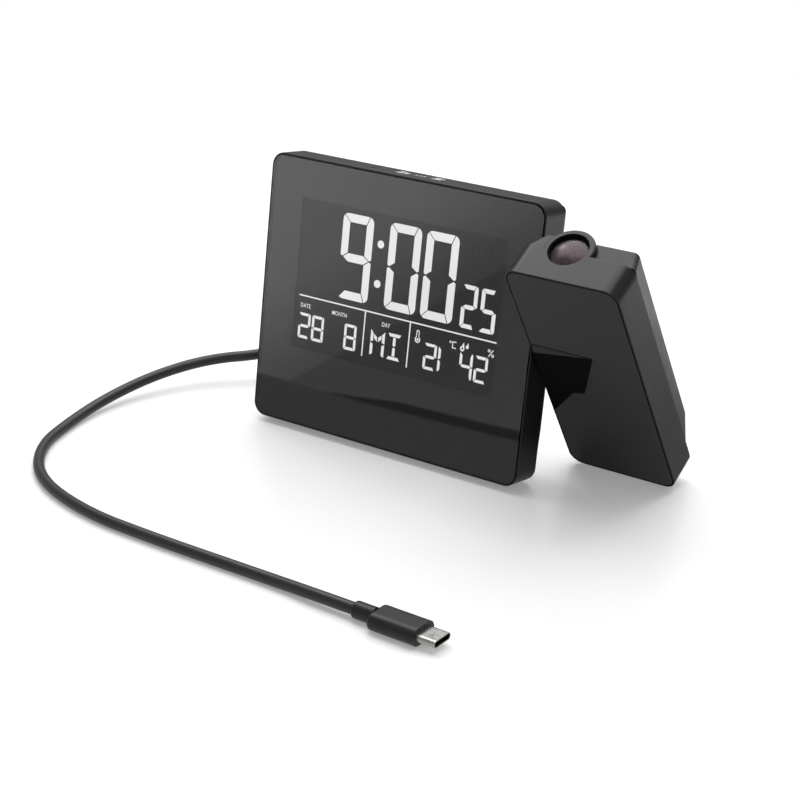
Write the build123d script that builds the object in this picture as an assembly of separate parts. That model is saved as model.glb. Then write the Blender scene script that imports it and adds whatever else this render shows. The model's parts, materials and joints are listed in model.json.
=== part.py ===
from build123d import *
import os
from math import acos, atan2, cos, degrees, hypot, pi, radians, sin, tan

# Projection alarm clock: a thin display case that leans back, and a projector arm of the same
# height and thickness that turns on a friction hinge at its right side. The foot of the arm
# stands on the table behind the case, so case and arm prop each other up.
#
# Millimetres. Each slab is drawn upright in its own frame: x to the right, y from the front
# face backwards, z up. CASE and ARM then place the two slabs on the table.

# ---- driving sizes -----------------------------------------------------------------------
CASE_W = 114.5            # display case, width
CASE_H = 97.0             # height of case and arm
CASE_T = 12.5             # thickness of the case's side walls, front to back
ARM_W = 41.4              # projector arm, width
ARM_GAP = 0.6             # air between case and arm
CORNER_R = 5.0            # outline corners
WALL = 2.0                # side walls of both cases
LEAN = 9.24               # the case leans back, degrees
STANDOFF = 0.5            # rubber feet hold the case this far off the table
ARM_STANDOFF = 0.1        # and the arm's strip holds its front edge this far off

# ---- front ---------------------------------------------------------------------------------
LIP = 0.35                # thin rim of the case that frames the front panel
PANEL_SET = 0.15          # the panel lies this far behind the rim
PANEL_T = 1.5
PANEL_CLEAR = 0.35        # dark gap all round the panel
MASK_T = 0.15             # black print and its film, bonded behind the panel
FRONT_WALL = 1.0          # wall of the case behind the panel
LIP_ROUND = 0.3           # rounding of the rim's outer edge

# ---- rear covers ---------------------------------------------------------------------------
FLANGE_T = 1.8
REAR_LIP = 1.0            # rim of the case around the cover's flange
COVER_CLEAR = 0.15
COVER_WALL = 1.8
SIDE_BASE = 0.3           # the raised part starts this far inside the outline
TOP_BASE, TOP_REAR = 1.5, 3.7
CASE_SIDE_REAR = 4.85     # its sides slope in to this at the back
CASE_LOW_SLOPE = 4.5      # its lower face slopes in by this much
ARM_SIDE_REAR = 3.7
ARM_LOW_BASE, ARM_LOW_REAR = 10.2, 15.0
BULGE_R = 1.8

# ---- hinge ---------------------------------------------------------------------------------
HINGE_Y, HINGE_Z = 13.2, 52.25
BOSS_R, BOSS_L = 7.5, 9.5
SHAFT_R = 4.4
SHAFT_CLEAR = 0.08
SHAFT_BORE_R = 2.6
HEAD_R, HEAD_T = 6.0, 1.6
WASHER_T, CLIP_T = 0.6, 0.8
CLIP_EDGE = 1.0           # clip and washer stand out from the shaft
CLIP_ROOM = 0.3           # free space round them
PLAY = 0.05

# ---- display -------------------------------------------------------------------------------
VIEW_W, VIEW_H = 86.4, 54.4
VIEW_Z = 55.4             # height of its centre above the case's lower edge
GLASS_T = 0.8
GLASS_MARGIN_X, GLASS_MARGIN_LOW, GLASS_MARGIN_TOP = 1.6, 3.2, 5.4
LEDGE = 3.6               # the front glass stands above the rear glass and carries the contacts
GUIDE_T = 1.8
TRAY_T = 0.7
TRAY_WALL = 0.85
SLIP = 0.1                # play between stacked inner parts

# ---- boards, battery bay and sockets ---------------------------------------------------------
PCB_T = 1.2
PCB_GAP = 0.4
CELL_R, CELL_L = 5.25, 44.5
CELL_PLAY = 0.15
CELL_GAP = 0.5            # between the two cells
SPRING_ROOM = 6.0         # length that the contacts take at both ends of a cell
BAY_X, BAY_TOP = 47.8, 40.8
BAY_CLEAR = 0.55          # above the upper cell and below the lower one
BAY_WALL, BAY_FLOOR = 1.2, 1.0
DOOR_T = 1.6
DOOR_OVER = 1.6           # the door covers the bay's edges by this much
DOOR_CLEAR = 0.25
DOOR_SILL = 1.35          # flat of the cover below the door
BOARD_CLEAR = 2.0         # the board ends this far above the bay
SOCKET_Z = 32.0
USB_X, DC_X = 34.0, 16.0
BUTTON_Z = 78.0
BUTTON_X0, BUTTON_PITCH = 20.0, 13.0
BUTTON_W, BUTTON_H = 8.0, 4.6
BUTTON_OUT = 1.0
BUTTON_TRAVEL = 0.5
KEY_W, KEY_D = 34.0, 6.8
KEY_REAR = 4.7            # its middle lies this far in front of the case's rear edge
KEY_TRAVEL = 0.6
BUTTON_CLEAR = 0.2
BUZZER_X, BUZZER_Z, BUZZER_R, BUZZER_T = 86.0, 66.0, 8.0, 4.0

# ---- projector -----------------------------------------------------------------------------
LENS_X, LENS_Y = 17.2, 13.4
COLLAR_R, COLLAR_L = 8.75, 13.0
LENS_OPEN_R = 6.9
LENS_R = 7.45
LENS_FLANGE_T, LENS_FLANGE_DROP = 1.0, 1.5
DOME_R, DOME_H = 6.75, 1.45
BARREL_R, BARREL_BORE = 7.5, 6.2
BARREL_LOW_R, BARREL_LOW_BORE = 5.4, 4.6

# ---- fasteners and feet ----------------------------------------------------------------------
SCREW_R, SCREW_HEAD_R, SCREW_HEAD_T = 1.1, 2.1, 1.3
SCREW_PLAY = 0.03
POST_R = 3.0
SMALL_POST_R = 2.3
FOOT_W, FOOT_Y0, FOOT_D, FOOT_EDGE = 16.0, 6.0, 5.3, 10.0
ARM_FOOT_Y0, ARM_FOOT_D, ARM_FOOT_EDGE = 1.5, 4.5, 5.0

# ---- charging cable --------------------------------------------------------------------------
CABLE_D = 4.0
USB_A_BODY = (15.6, 20.0, 7.6)      # width, length, height of the moulded grip
USB_A_SHELL = (12.0, 11.0, 4.5)
USB_A_RELIEF_R, USB_A_RELIEF_L = 2.9, 10.0
USB_C_BODY = (17.2, 10.8, 5.8)      # length, width, height
USB_C_RELIEF_L, USB_C_RELIEF_R = 7.6, 2.8
USB_C_SHELL = (6.65, 8.25, 2.4)

# ---- levels worked out from the sizes above, counted from the front face backwards -----------
PANEL_BACK = PANEL_SET + PANEL_T
MASK_BACK = PANEL_BACK + MASK_T
INNER_Y = MASK_BACK + FRONT_WALL                # inside of the front wall
GLASS_Y = INNER_Y + SLIP
REAR_GLASS_Y = GLASS_Y + GLASS_T
GUIDE_Y = REAR_GLASS_Y + GLASS_T + SLIP
TRAY_Y = GUIDE_Y + GUIDE_T + SLIP               # floor of the backlight tray
PCB_Y = TRAY_Y + TRAY_T + PCB_GAP
PCB_BACK = PCB_Y + PCB_T
FLANGE_Y = CASE_T - FLANGE_T
BAY_Y = TRAY_Y + TRAY_T + SLIP + BAY_FLOOR      # front face of the battery bay's hollow
CELL_Y = BAY_Y + CELL_PLAY + CELL_R
CELL_PITCH = 2 * CELL_R + CELL_GAP
BAY_L = CELL_L + SPRING_ROOM
BAY_H = CELL_PITCH + 2 * CELL_R + 2 * BAY_CLEAR
BAY_Z = BAY_TOP - BAY_H
BOARD_LOW = BAY_TOP + BAY_WALL + BOARD_CLEAR
CASE_LOW_REAR = BAY_Z - DOOR_OVER - DOOR_CLEAR - DOOR_SILL
CASE_LOW_BASE = CASE_LOW_REAR - CASE_LOW_SLOPE
KEY_Y = CASE_T - KEY_REAR
DEPTH = CELL_Y + CELL_R + 3 * CELL_PLAY + DOOR_T  # front rim to the back of the rear cover
COVER_IN = DEPTH - COVER_WALL                   # inner face of the raised rear wall
BOSS_X = CASE_W - BOSS_L                        # inner end of the case's hinge boss
MID_X = CASE_W / 2
CLIP_R = SHAFT_R + CLIP_EDGE
WASHER_X = BOSS_X - PLAY                        # outer face of the washer, next to the boss
CLIP_X = WASHER_X - WASHER_T

# ---- how the two slabs stand -------------------------------------------------------------------
LIFT = CASE_T * sin(radians(LEAN)) + STANDOFF
HINGE_HEIGHT = LIFT - HINGE_Y * sin(radians(LEAN)) + HINGE_Z * cos(radians(LEAN))
FOOT_REACH = hypot(HINGE_Y, HINGE_Z)
ARM_TILT = degrees(atan2(HINGE_Y, HINGE_Z) + acos((HINGE_HEIGHT - ARM_STANDOFF) / FOOT_REACH))
FOLD = ARM_TILT + LEAN                          # arm turned out of the case's plane
CASE = Pos(0, 0, LIFT) * Rot(-LEAN, 0, 0)
ARM_X = CASE_W + ARM_GAP
ARM = CASE * Pos(ARM_X, HINGE_Y, HINGE_Z) * Rot(FOLD, 0, 0) * Pos(0, -HINGE_Y, -HINGE_Z)

pieces = {}


def keep(name, shape, place):
    pieces[name] = place * shape


# ---- shared shapes -----------------------------------------------------------------------------
def outline(x0, x1, z0, z1, radius, y):
    """A rounded rectangle that stands at depth y, as a face."""
    flat = RectangleRounded(x1 - x0, z1 - z0, radius)
    return Pos((x0 + x1) / 2, y, (z0 + z1) / 2) * Rot(90, 0, 0) * flat


def plate(x0, x1, z0, z1, radius, y0, y1):
    """A rounded plate from depth y0 back to y1."""
    flat = RectangleRounded(x1 - x0, z1 - z0, radius)
    return Pos((x0 + x1) / 2, y1, (z0 + z1) / 2) * Rot(90, 0, 0) * extrude(flat, y1 - y0)


def block(x0, x1, y0, y1, z0, z1):
    return Pos((x0 + x1) / 2, (y0 + y1) / 2, (z0 + z1) / 2) * Box(x1 - x0, y1 - y0, z1 - z0)


def rod_x(x0, x1, y, z, radius):
    return Pos((x0 + x1) / 2, y, z) * Rot(0, 90, 0) * Cylinder(radius, x1 - x0)


def rod_y(x, y0, y1, z, radius):
    return Pos(x, (y0 + y1) / 2, z) * Rot(90, 0, 0) * Cylinder(radius, y1 - y0)


def rod_z(x, y, z0, z1, radius):
    return Pos(x, y, (z0 + z1) / 2) * Cylinder(radius, z1 - z0)


def front_edges(solid):
    return solid.faces().sort_by(Axis.Y)[0].edges()


def rear_edges(solid):
    return solid.faces().sort_by(Axis.Y)[-1].edges()


def screw(x, y, z, length):
    """A pan-head screw driven forwards, its head seated at depth y."""
    head = fillet(rear_edges(rod_y(x, y, y + SCREW_HEAD_T, z, SCREW_HEAD_R)), 0.5)
    slot = block(x - 1.2, x + 1.2, y + 0.6, y + SCREW_HEAD_T + 1, z - 0.25, z + 0.25)
    cross = block(x - 0.25, x + 0.25, y + 0.6, y + SCREW_HEAD_T + 1, z - 1.2, z + 1.2)
    return head + rod_y(x, y - length, y, z, SCREW_R) - slot - cross


def post(x, z, radius, y1, hole_depth):
    """A moulded screw post that grows back from the front wall."""
    column = rod_y(x, MASK_BACK + FRONT_WALL / 2, y1, z, radius)
    return column - rod_y(x, y1 - hole_depth, y1 + 1, z, SCREW_R + SCREW_PLAY)


def case_tray(width):
    """Side walls and front wall of a slab: the front panel and the rear cover drop into it."""
    tray = plate(0, width, 0, CASE_H, CORNER_R, 0, CASE_T)
    tray = fillet(rear_edges(tray), 0.7)
    tray = fillet(front_edges(tray), min(LIP_ROUND, LIP - 0.03))
    tray -= plate(LIP, width - LIP, LIP, CASE_H - LIP, CORNER_R - LIP, -1, MASK_BACK)
    tray -= plate(WALL, width - WALL, WALL, CASE_H - WALL, CORNER_R - WALL, INNER_Y, CASE_T + 1)
    rim = REAR_LIP
    return tray - plate(rim, width - rim, rim, CASE_H - rim, CORNER_R - rim, FLANGE_Y, CASE_T + 1)


def front_panel(width, y0, y1):
    edge = LIP + PANEL_CLEAR
    return plate(edge, width - edge, edge, CASE_H - edge, CORNER_R - edge, y0, y1)


def raised(width, side_rear, low_base, low_rear, wall, y0, y1):
    """The raised part of a rear cover, drafted from y0 back to y1 and shrunk by a wall."""
    def ring(side, low, top, radius, y):
        return outline(side + wall, width - side - wall, low + wall, CASE_H - top - wall, radius - wall / 2, y)
    base = ring(SIDE_BASE, low_base, TOP_BASE, BULGE_R, y0)
    rear = ring(side_rear, low_rear, TOP_REAR, BULGE_R, y1)
    return loft([base, rear], ruled=True)


def rear_cover(width, side_rear, low_base, low_rear):
    """Flange that closes the case, with a hollow raised part for what stands behind the board."""
    edge = REAR_LIP + COVER_CLEAR
    flange = plate(edge, width - edge, edge, CASE_H - edge, CORNER_R - edge, FLANGE_Y, CASE_T)
    hump = raised(width, side_rear, low_base, low_rear, 0, CASE_T, DEPTH)
    hump = fillet(rear_edges(hump), 1.0)
    hollow = raised(width, side_rear, low_base, low_rear, COVER_WALL, CASE_T, COVER_IN)
    side, low, top = SIDE_BASE + COVER_WALL, low_base + COVER_WALL, CASE_H - TOP_BASE - COVER_WALL
    mouth = plate(side, width - side, low, top, BULGE_R - COVER_WALL / 2, FLANGE_Y - 1, CASE_T)
    return flange + hump - hollow - mouth


# ---- display case: front ---------------------------------------------------------------------
def case_front():
    tray = case_tray(CASE_W)
    tray -= block(MID_X - VIEW_W / 2 - 0.8, MID_X + VIEW_W / 2 + 0.8, 0, INNER_Y + 1,
                  VIEW_Z - VIEW_H / 2 - 0.8, VIEW_Z + VIEW_H / 2 + 0.8)
    tray -= rod_x(CASE_W / 2, CASE_W + 1, HINGE_Y, HINGE_Z, BOSS_R + COVER_CLEAR)
    tray -= Pos(MID_X, KEY_Y, CASE_H) * Box(KEY_W + 2 * BUTTON_CLEAR, KEY_D + 2 * BUTTON_CLEAR, 3 * WALL)
    for x, z in COVER_SCREWS:
        tray += post(x, z, POST_R, FLANGE_Y, 6)
    for x, z in BOARD_SCREWS:
        tray += post(x, z, SMALL_POST_R, PCB_Y, 4)
    return tray


def panel_mask():
    """Black print behind the clear panel, open over the display."""
    film = front_panel(CASE_W, PANEL_BACK, MASK_BACK)
    return film - block(MID_X - VIEW_W / 2, MID_X + VIEW_W / 2, 0, INNER_Y,
                        VIEW_Z - VIEW_H / 2, VIEW_Z + VIEW_H / 2)


COVER_SCREWS = [(8.0, 8.0), (CASE_W - 8.0, 8.0), (8.6, CASE_H - 7.6), (CASE_W - 8.6, CASE_H - 7.6)]
BOARD_SCREWS = [(7.5, 73.0), (CASE_W - 7.5, 73.0), (12.0, 20.6), (42.5, 20.6)]

keep("front_panel", front_panel(CASE_W, PANEL_SET, PANEL_BACK), CASE)
keep("panel_mask", panel_mask(), CASE)
keep("case_front", case_front(), CASE)

# ---- display case: liquid crystal display and its backlight ------------------------------------
GLASS_X0, GLASS_X1 = MID_X - VIEW_W / 2 - GLASS_MARGIN_X, MID_X + VIEW_W / 2 + GLASS_MARGIN_X
GLASS_Z0 = VIEW_Z - VIEW_H / 2 - GLASS_MARGIN_LOW
GLASS_Z1 = VIEW_Z + VIEW_H / 2 + GLASS_MARGIN_TOP
REAR_GLASS_Z1 = GLASS_Z1 - LEDGE

keep("lcd_front_glass", block(GLASS_X0, GLASS_X1, GLASS_Y, REAR_GLASS_Y, GLASS_Z0, GLASS_Z1), CASE)
keep("lcd_rear_glass", block(GLASS_X0, GLASS_X1, REAR_GLASS_Y, REAR_GLASS_Y + GLASS_T,
                             GLASS_Z0, REAR_GLASS_Z1), CASE)

LED_X = GLASS_X0 + 1.8
keep("backlight_guide", block(LED_X + SLIP, GLASS_X1 - 0.4, GUIDE_Y, GUIDE_Y + GUIDE_T,
                              GLASS_Z0 + 0.8, REAR_GLASS_Z1 - 0.8), CASE)


def backlight_tray():
    """White tray that holds guide and glass, its floor the reflector."""
    low, high = GLASS_Z0 - SLIP, REAR_GLASS_Z1 + SLIP
    left, right = GLASS_X0 - SLIP, GLASS_X1 + SLIP
    tray = block(left - TRAY_WALL, right + TRAY_WALL, REAR_GLASS_Y, TRAY_Y + TRAY_T,
                 low - TRAY_WALL, high + TRAY_WALL / 2)
    return tray - block(left, right, 0, TRAY_Y, low, high)


def backlight_leds():
    pitch = VIEW_H / 4
    rows = [VIEW_Z + pitch * (i - 1.5) for i in range(4)]
    return [block(GLASS_X0 + SLIP, LED_X, GUIDE_Y + SLIP, TRAY_Y, z - 1.5, z + 1.5) for z in rows]


keep("backlight_tray", backlight_tray(), CASE)
keep("backlight_leds", Compound(backlight_leds()), CASE)
keep("contact_strip", block(MID_X - 38, MID_X + 38, REAR_GLASS_Y, PCB_Y,
                            GLASS_Z1 - 2.4, GLASS_Z1 - 0.4), CASE)


# ---- display case: board and what stands on it -------------------------------------------------
def main_board():
    board = block(4.5, CASE_W - 4.5, PCB_Y, PCB_BACK, 62.0, 84.0)
    board += block(14.0, CASE_W - 14.5, PCB_Y, PCB_BACK, 62.0, 91.5)
    board += block(14.0, BOSS_X - 11.0, PCB_Y, PCB_BACK, BOARD_LOW, 62.0)
    board += block(8.0, BAY_X - BAY_WALL - 0.8, PCB_Y, PCB_BACK, 17.6, BOARD_LOW)
    for x, z in BOARD_SCREWS:
        board -= rod_y(x, 0, DEPTH, z, SCREW_R + 0.2)
    return board


def board_parts():
    """Controller, memory, radio module, crystal and capacitors."""
    parts = [block(30, 42, PCB_BACK, PCB_BACK + 1.6, 58, 70), block(48, 53, PCB_BACK, PCB_BACK + 1.5, 60, 66),
             block(16, 27, PCB_BACK, PCB_BACK + 2.2, 52, 66)]
    parts += [rod_y(x, PCB_BACK, PCB_BACK + 6.5, 54.0, 2.5) for x in (34.0, 41.0)]
    parts.append(rod_x(56, 62, PCB_BACK + 1.1, 56.0, 1.0))
    return parts


SWITCH_T, PLUNGER_T = 3.5, 0.6
BUTTON_NAMES = ["time_button", "alarm_button", "down_button", "up_button", "unit_button", "projection_button"]
BUTTON_PLACES = [BUTTON_X0 + BUTTON_PITCH * i for i in range(len(BUTTON_NAMES))]
KEY_SWITCH_TOP = 91.0
KEY_STEM_Y = PCB_BACK + 1.3


def tact_switches():
    switches = []
    for x in BUTTON_PLACES:
        body = block(x - 3, x + 3, PCB_BACK, PCB_BACK + SWITCH_T, BUTTON_Z - 3, BUTTON_Z + 3)
        switches.append(body + rod_y(x, PCB_BACK + SWITCH_T, PCB_BACK + SWITCH_T + PLUNGER_T, BUTTON_Z, 1.6))
    low = KEY_SWITCH_TOP - SWITCH_T
    body = block(MID_X - 3, MID_X + 3, PCB_BACK, PCB_BACK + 3.2, low, KEY_SWITCH_TOP)
    plunger = rod_z(MID_X, KEY_STEM_Y, KEY_SWITCH_TOP, KEY_SWITCH_TOP + PLUNGER_T, 1.2)
    switches.append(body + plunger)
    return switches


def buzzer():
    shell = rod_y(BUZZER_X, PCB_BACK, PCB_BACK + BUZZER_T, BUZZER_Z, BUZZER_R)
    return shell - rod_y(BUZZER_X, PCB_BACK + BUZZER_T - 1, DEPTH, BUZZER_Z, 1.5)


keep("main_board", main_board(), CASE)
keep("board_parts", Compound(board_parts()), CASE)
keep("tact_switches", Compound(tact_switches()), CASE)
keep("buzzer", buzzer(), CASE)

# ---- display case: sockets ---------------------------------------------------------------------
USB_HOLE_W, USB_HOLE_H = 12.6, 5.1
USB_TIN = 0.3


def usb_socket():
    """Folded tin shell of the charging socket, its mouth flush with the rear cover."""
    outer = block(USB_X - USB_HOLE_W / 2 - USB_TIN, USB_X + USB_HOLE_W / 2 + USB_TIN, PCB_BACK, DEPTH - 0.2,
                  SOCKET_Z - USB_HOLE_H / 2 - USB_TIN, SOCKET_Z + USB_HOLE_H / 2 + USB_TIN)
    return outer - block(USB_X - USB_HOLE_W / 2, USB_X + USB_HOLE_W / 2, PCB_BACK + USB_TIN, DEPTH,
                         SOCKET_Z - USB_HOLE_H / 2, SOCKET_Z + USB_HOLE_H / 2)


def usb_tongue():
    return block(USB_X - 5.4, USB_X + 5.4, PCB_BACK + USB_TIN, DEPTH - 1.5, SOCKET_Z + 0.1, SOCKET_Z + 1.7)


def power_inlet():
    """Round socket for the low-voltage plug of a mains adapter, with its centre pin."""
    body = block(DC_X - 4.5, DC_X + 4.5, PCB_BACK, COVER_IN - SLIP, SOCKET_Z - 4.5, SOCKET_Z + 4.5)
    body += rod_y(DC_X, COVER_IN - SLIP, DEPTH - 0.2, SOCKET_Z, 3.6)
    body -= rod_y(DC_X, DEPTH - 9.0, DEPTH, SOCKET_Z, 2.8)
    return body + rod_y(DC_X, DEPTH - 9.0, DEPTH - 0.8, SOCKET_Z, 1.0)


keep("usb_socket", usb_socket(), CASE)
keep("usb_tongue", usb_tongue(), CASE)
keep("power_inlet", power_inlet(), CASE)


# ---- display case: rear cover --------------------------------------------------------------------
def screw_well(x, z):
    """Deep well in the raised part for a screw that holds the cover to the case."""
    return rod_y(x, FLANGE_Y, DEPTH - 0.4, z, SCREW_HEAD_R + 1.6)


def case_cover():
    cover = rear_cover(CASE_W, CASE_SIDE_REAR, CASE_LOW_BASE, CASE_LOW_REAR)
    envelope = raised(CASE_W, CASE_SIDE_REAR, CASE_LOW_BASE, CASE_LOW_REAR, 0.2, CASE_T, DEPTH - 0.2)
    for x, z in COVER_SCREWS[2:]:
        cover += screw_well(x, z) & (envelope + rod_y(x, FLANGE_Y, CASE_T, z, POST_R + 2))
    bay_x1, bay_z1 = BAY_X + BAY_L, BAY_Z + BAY_H
    cover += block(BAY_X - BAY_WALL, bay_x1 + BAY_WALL, BAY_Y - BAY_FLOOR, COVER_IN + 0.5,
                   BAY_Z - BAY_WALL, bay_z1 + BAY_WALL)
    rim = DOOR_OVER + DOOR_CLEAR + 0.8
    cover += block(BAY_X - rim, bay_x1 + rim, COVER_IN - 1.4, COVER_IN + 0.5, BAY_Z - rim + 0.4, bay_z1 + rim)
    cover += rod_x(BOSS_X, CASE_W, HINGE_Y, HINGE_Z, BOSS_R)
    # openings
    cover -= block(BAY_X, bay_x1, BAY_Y, DEPTH + 1, BAY_Z, bay_z1)
    over = DOOR_OVER + DOOR_CLEAR
    cover -= plate(BAY_X - over, bay_x1 + over, BAY_Z - over, bay_z1 + over, 2.0, DEPTH - DOOR_T - 0.05, DEPTH + 1)
    cover -= rod_x(BOSS_X - 1, CASE_W + 1, HINGE_Y, HINGE_Z, SHAFT_R + SHAFT_CLEAR)
    cover -= rod_x(CLIP_X - CLIP_T - CLIP_ROOM, BOSS_X, HINGE_Y, HINGE_Z, CLIP_R + CLIP_ROOM)
    for x, z in COVER_SCREWS:
        cover -= rod_y(x, 0, DEPTH + 1, z, SCREW_R + 0.2)
    for x, z in COVER_SCREWS[:2]:
        cover -= rod_y(x, CASE_T - 0.9, DEPTH, z, SCREW_HEAD_R + 0.3)
    for x, z in COVER_SCREWS[2:]:
        cover -= rod_y(x, CASE_T, DEPTH + 1, z, SCREW_HEAD_R + 0.4)
    for x in BUTTON_PLACES:
        half_w, half_h = BUTTON_W / 2 + BUTTON_CLEAR, BUTTON_H / 2 + BUTTON_CLEAR
        cover -= plate(x - half_w, x + half_w, BUTTON_Z - half_h, BUTTON_Z + half_h, half_h - 0.05,
                       COVER_IN - 1, DEPTH + 1)
    tin_w, tin_h = USB_HOLE_W / 2 + USB_TIN + SLIP, USB_HOLE_H / 2 + USB_TIN + SLIP
    cover -= block(USB_X - tin_w, USB_X + tin_w, COVER_IN - 1, DEPTH + 1, SOCKET_Z - tin_h, SOCKET_Z + tin_h)
    cover -= rod_y(DC_X, COVER_IN - 1, DEPTH + 1, SOCKET_Z, 3.6 + SLIP)
    key_w = KEY_W / 2 + KEY_FLANGE + BUTTON_CLEAR
    cover -= block(MID_X - key_w, MID_X + key_w, FLANGE_Y - 1, KEY_Y + KEY_D / 2 + 0.3, CASE_H - 7, CASE_H)
    # sound holes over the buzzer
    for row in range(-2, 3):
        for column in range(-2, 3):
            if row * row + column * column <= 5:
                cover -= rod_y(BUZZER_X + 3.0 * column, COVER_IN - 1, DEPTH + 1, BUZZER_Z + 3.0 * row, 0.7)
    return cover


KEY_FLANGE = 1.5
keep("rear_cover", case_cover(), CASE)


def battery_door():
    over = DOOR_OVER
    door = plate(BAY_X - over, BAY_X + BAY_L + over, BAY_Z - over, BAY_Z + BAY_H + over, 1.8,
                 DEPTH - DOOR_T, DEPTH)
    door = fillet(rear_edges(door), 0.3)
    middle = BAY_X + BAY_L / 2
    for step in range(4):
        z = BAY_Z + BAY_H - 1.5 - 1.6 * step
        door -= block(middle - 6, middle + 6, DEPTH - 0.4, DEPTH + 1, z - 0.35, z + 0.35)
    latch = block(middle - 4, middle + 4, DEPTH - DOOR_T - 2.2, DEPTH - DOOR_T,
                  BAY_Z + BAY_H - 1.4, BAY_Z + BAY_H - 0.3)
    pegs = [block(x - 3, x + 3, DEPTH - DOOR_T - 1.2, DEPTH - DOOR_T, BAY_Z + 0.3, BAY_Z + 1.3)
            for x in (BAY_X + 8, BAY_X + BAY_L - 8)]
    return door + latch + pegs[0] + pegs[1]


def battery_cells():
    cells = []
    for i in range(2):
        z = BAY_Z + BAY_H / 2 + CELL_PITCH * (i - 0.5)
        x0 = BAY_X + (BAY_L - CELL_L) / 2
        shoulder = x0 + CELL_L - 1.0
        can = rod_x(x0, shoulder, CELL_Y, z, CELL_R)
        cells.append(can + rod_x(shoulder, shoulder + 1.0, CELL_Y, z, 1.9))
    return cells


def battery_springs():
    """Contact plates at the two ends of each cell, and the spring cone on the flat end."""
    y = CELL_Y
    x0 = BAY_X + (BAY_L - CELL_L) / 2
    x1 = x0 + CELL_L
    parts = []
    for i in range(2):
        z = BAY_Z + BAY_H / 2 + CELL_PITCH * (i - 0.5)
        tin = block(BAY_X + 0.05, BAY_X + 0.45, y - 4, y + 4, z - 4.5, z + 4.5)
        cone = Pos((BAY_X + 0.45 + x0) / 2, y, z) * Rot(0, 90, 0) * Cone(4.0, 2.6, x0 - BAY_X - 0.45)
        parts.append(tin + cone)
        far = block(BAY_X + BAY_L - 0.45, BAY_X + BAY_L - 0.05, y - 4, y + 4, z - 4.5, z + 4.5)
        parts.append(far + rod_x(x1, BAY_X + BAY_L - 0.45, y, z, 2.2))
    return parts


keep("battery_door", battery_door(), CASE)
keep("battery_cells", Compound(battery_cells()), CASE)
keep("battery_contacts", Compound(battery_springs()), CASE)


# ---- display case: buttons, top key, screws and feet ---------------------------------------------
def push_button(x):
    """Oval cap with a flange that keeps it in the cover and a stem over its switch."""
    cap = plate(x - BUTTON_W / 2, x + BUTTON_W / 2, BUTTON_Z - BUTTON_H / 2, BUTTON_Z + BUTTON_H / 2,
                BUTTON_H / 2 - 0.05, COVER_IN - SLIP, DEPTH + BUTTON_OUT)
    cap = fillet(rear_edges(cap), 0.45)
    flange_y = COVER_IN - SLIP
    flange = plate(x - BUTTON_W / 2 - 1, x + BUTTON_W / 2 + 1, BUTTON_Z - BUTTON_H / 2 - 1,
                   BUTTON_Z + BUTTON_H / 2 + 1, 1.5, flange_y - 1.0, flange_y)
    stem_y = PCB_BACK + SWITCH_T + PLUNGER_T + BUTTON_TRAVEL + SLIP
    return cap + flange + rod_y(x, stem_y, flange_y - 0.5, BUTTON_Z, 1.5)


def snooze_key():
    """Long bar in the top wall that repeats the alarm and lights the display."""
    bar = Pos(MID_X, KEY_Y, CASE_H - 1.5) * extrude(RectangleRounded(KEY_W, KEY_D, 1.2), 1.5)
    bar = fillet(bar.faces().sort_by(Axis.Z)[-1].edges(), 0.25)
    neck = Pos(MID_X, KEY_Y, CASE_H - WALL - BUTTON_CLEAR) * extrude(RectangleRounded(KEY_W, KEY_D, 1.2), 1.0)
    flange_z = CASE_H - WALL - BUTTON_CLEAR
    flange = block(MID_X - KEY_W / 2 - KEY_FLANGE, MID_X + KEY_W / 2 + KEY_FLANGE,
                   KEY_Y - KEY_D / 2 + 0.2, KEY_Y + KEY_D / 2 - 0.1, flange_z - 1.0, flange_z)
    stem_z = KEY_SWITCH_TOP + PLUNGER_T + KEY_TRAVEL + SLIP
    stem = rod_z(MID_X, KEY_STEM_Y, stem_z, flange_z - 0.5, 1.2)
    return bar + neck + flange + stem


def case_feet():
    """Rubber wedges under the lower face, cut level with the table."""
    slope = sin(radians(LEAN)) / cos(radians(LEAN))
    front_drop = (LIFT / cos(radians(LEAN))) - FOOT_Y0 * slope
    rear_drop = (LIFT / cos(radians(LEAN))) - (FOOT_Y0 + FOOT_D) * slope
    corners = [(FOOT_Y0, 0), (FOOT_Y0 + FOOT_D, 0), (FOOT_Y0 + FOOT_D, -rear_drop), (FOOT_Y0, -front_drop)]
    feet = []
    for x in (FOOT_EDGE, CASE_W - FOOT_EDGE - FOOT_W):
        side = make_face(Polyline([(x, y, z) for y, z in corners], close=True))
        feet.append(extrude(side, FOOT_W, dir=(1, 0, 0)))
    return feet


for name, x in zip(BUTTON_NAMES, BUTTON_PLACES):
    keep(name, push_button(x), CASE)
keep("snooze_key", snooze_key(), CASE)
keep("case_feet", Compound(case_feet()), CASE)

case_screws = [screw(x, CASE_T - 0.9, z, 6) for x, z in COVER_SCREWS[:2]]
case_screws += [screw(x, CASE_T, z, 7) for x, z in COVER_SCREWS[2:]]
keep("case_screws", Compound(case_screws), CASE)
keep("board_screws", Compound([screw(x, PCB_BACK, z, 4) for x, z in BOARD_SCREWS]), CASE)

# ---- hinge ---------------------------------------------------------------------------------------
SHAFT_END = CLIP_X - CLIP_T - 1.5
HEAD_X = ARM_X + BOSS_L


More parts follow.
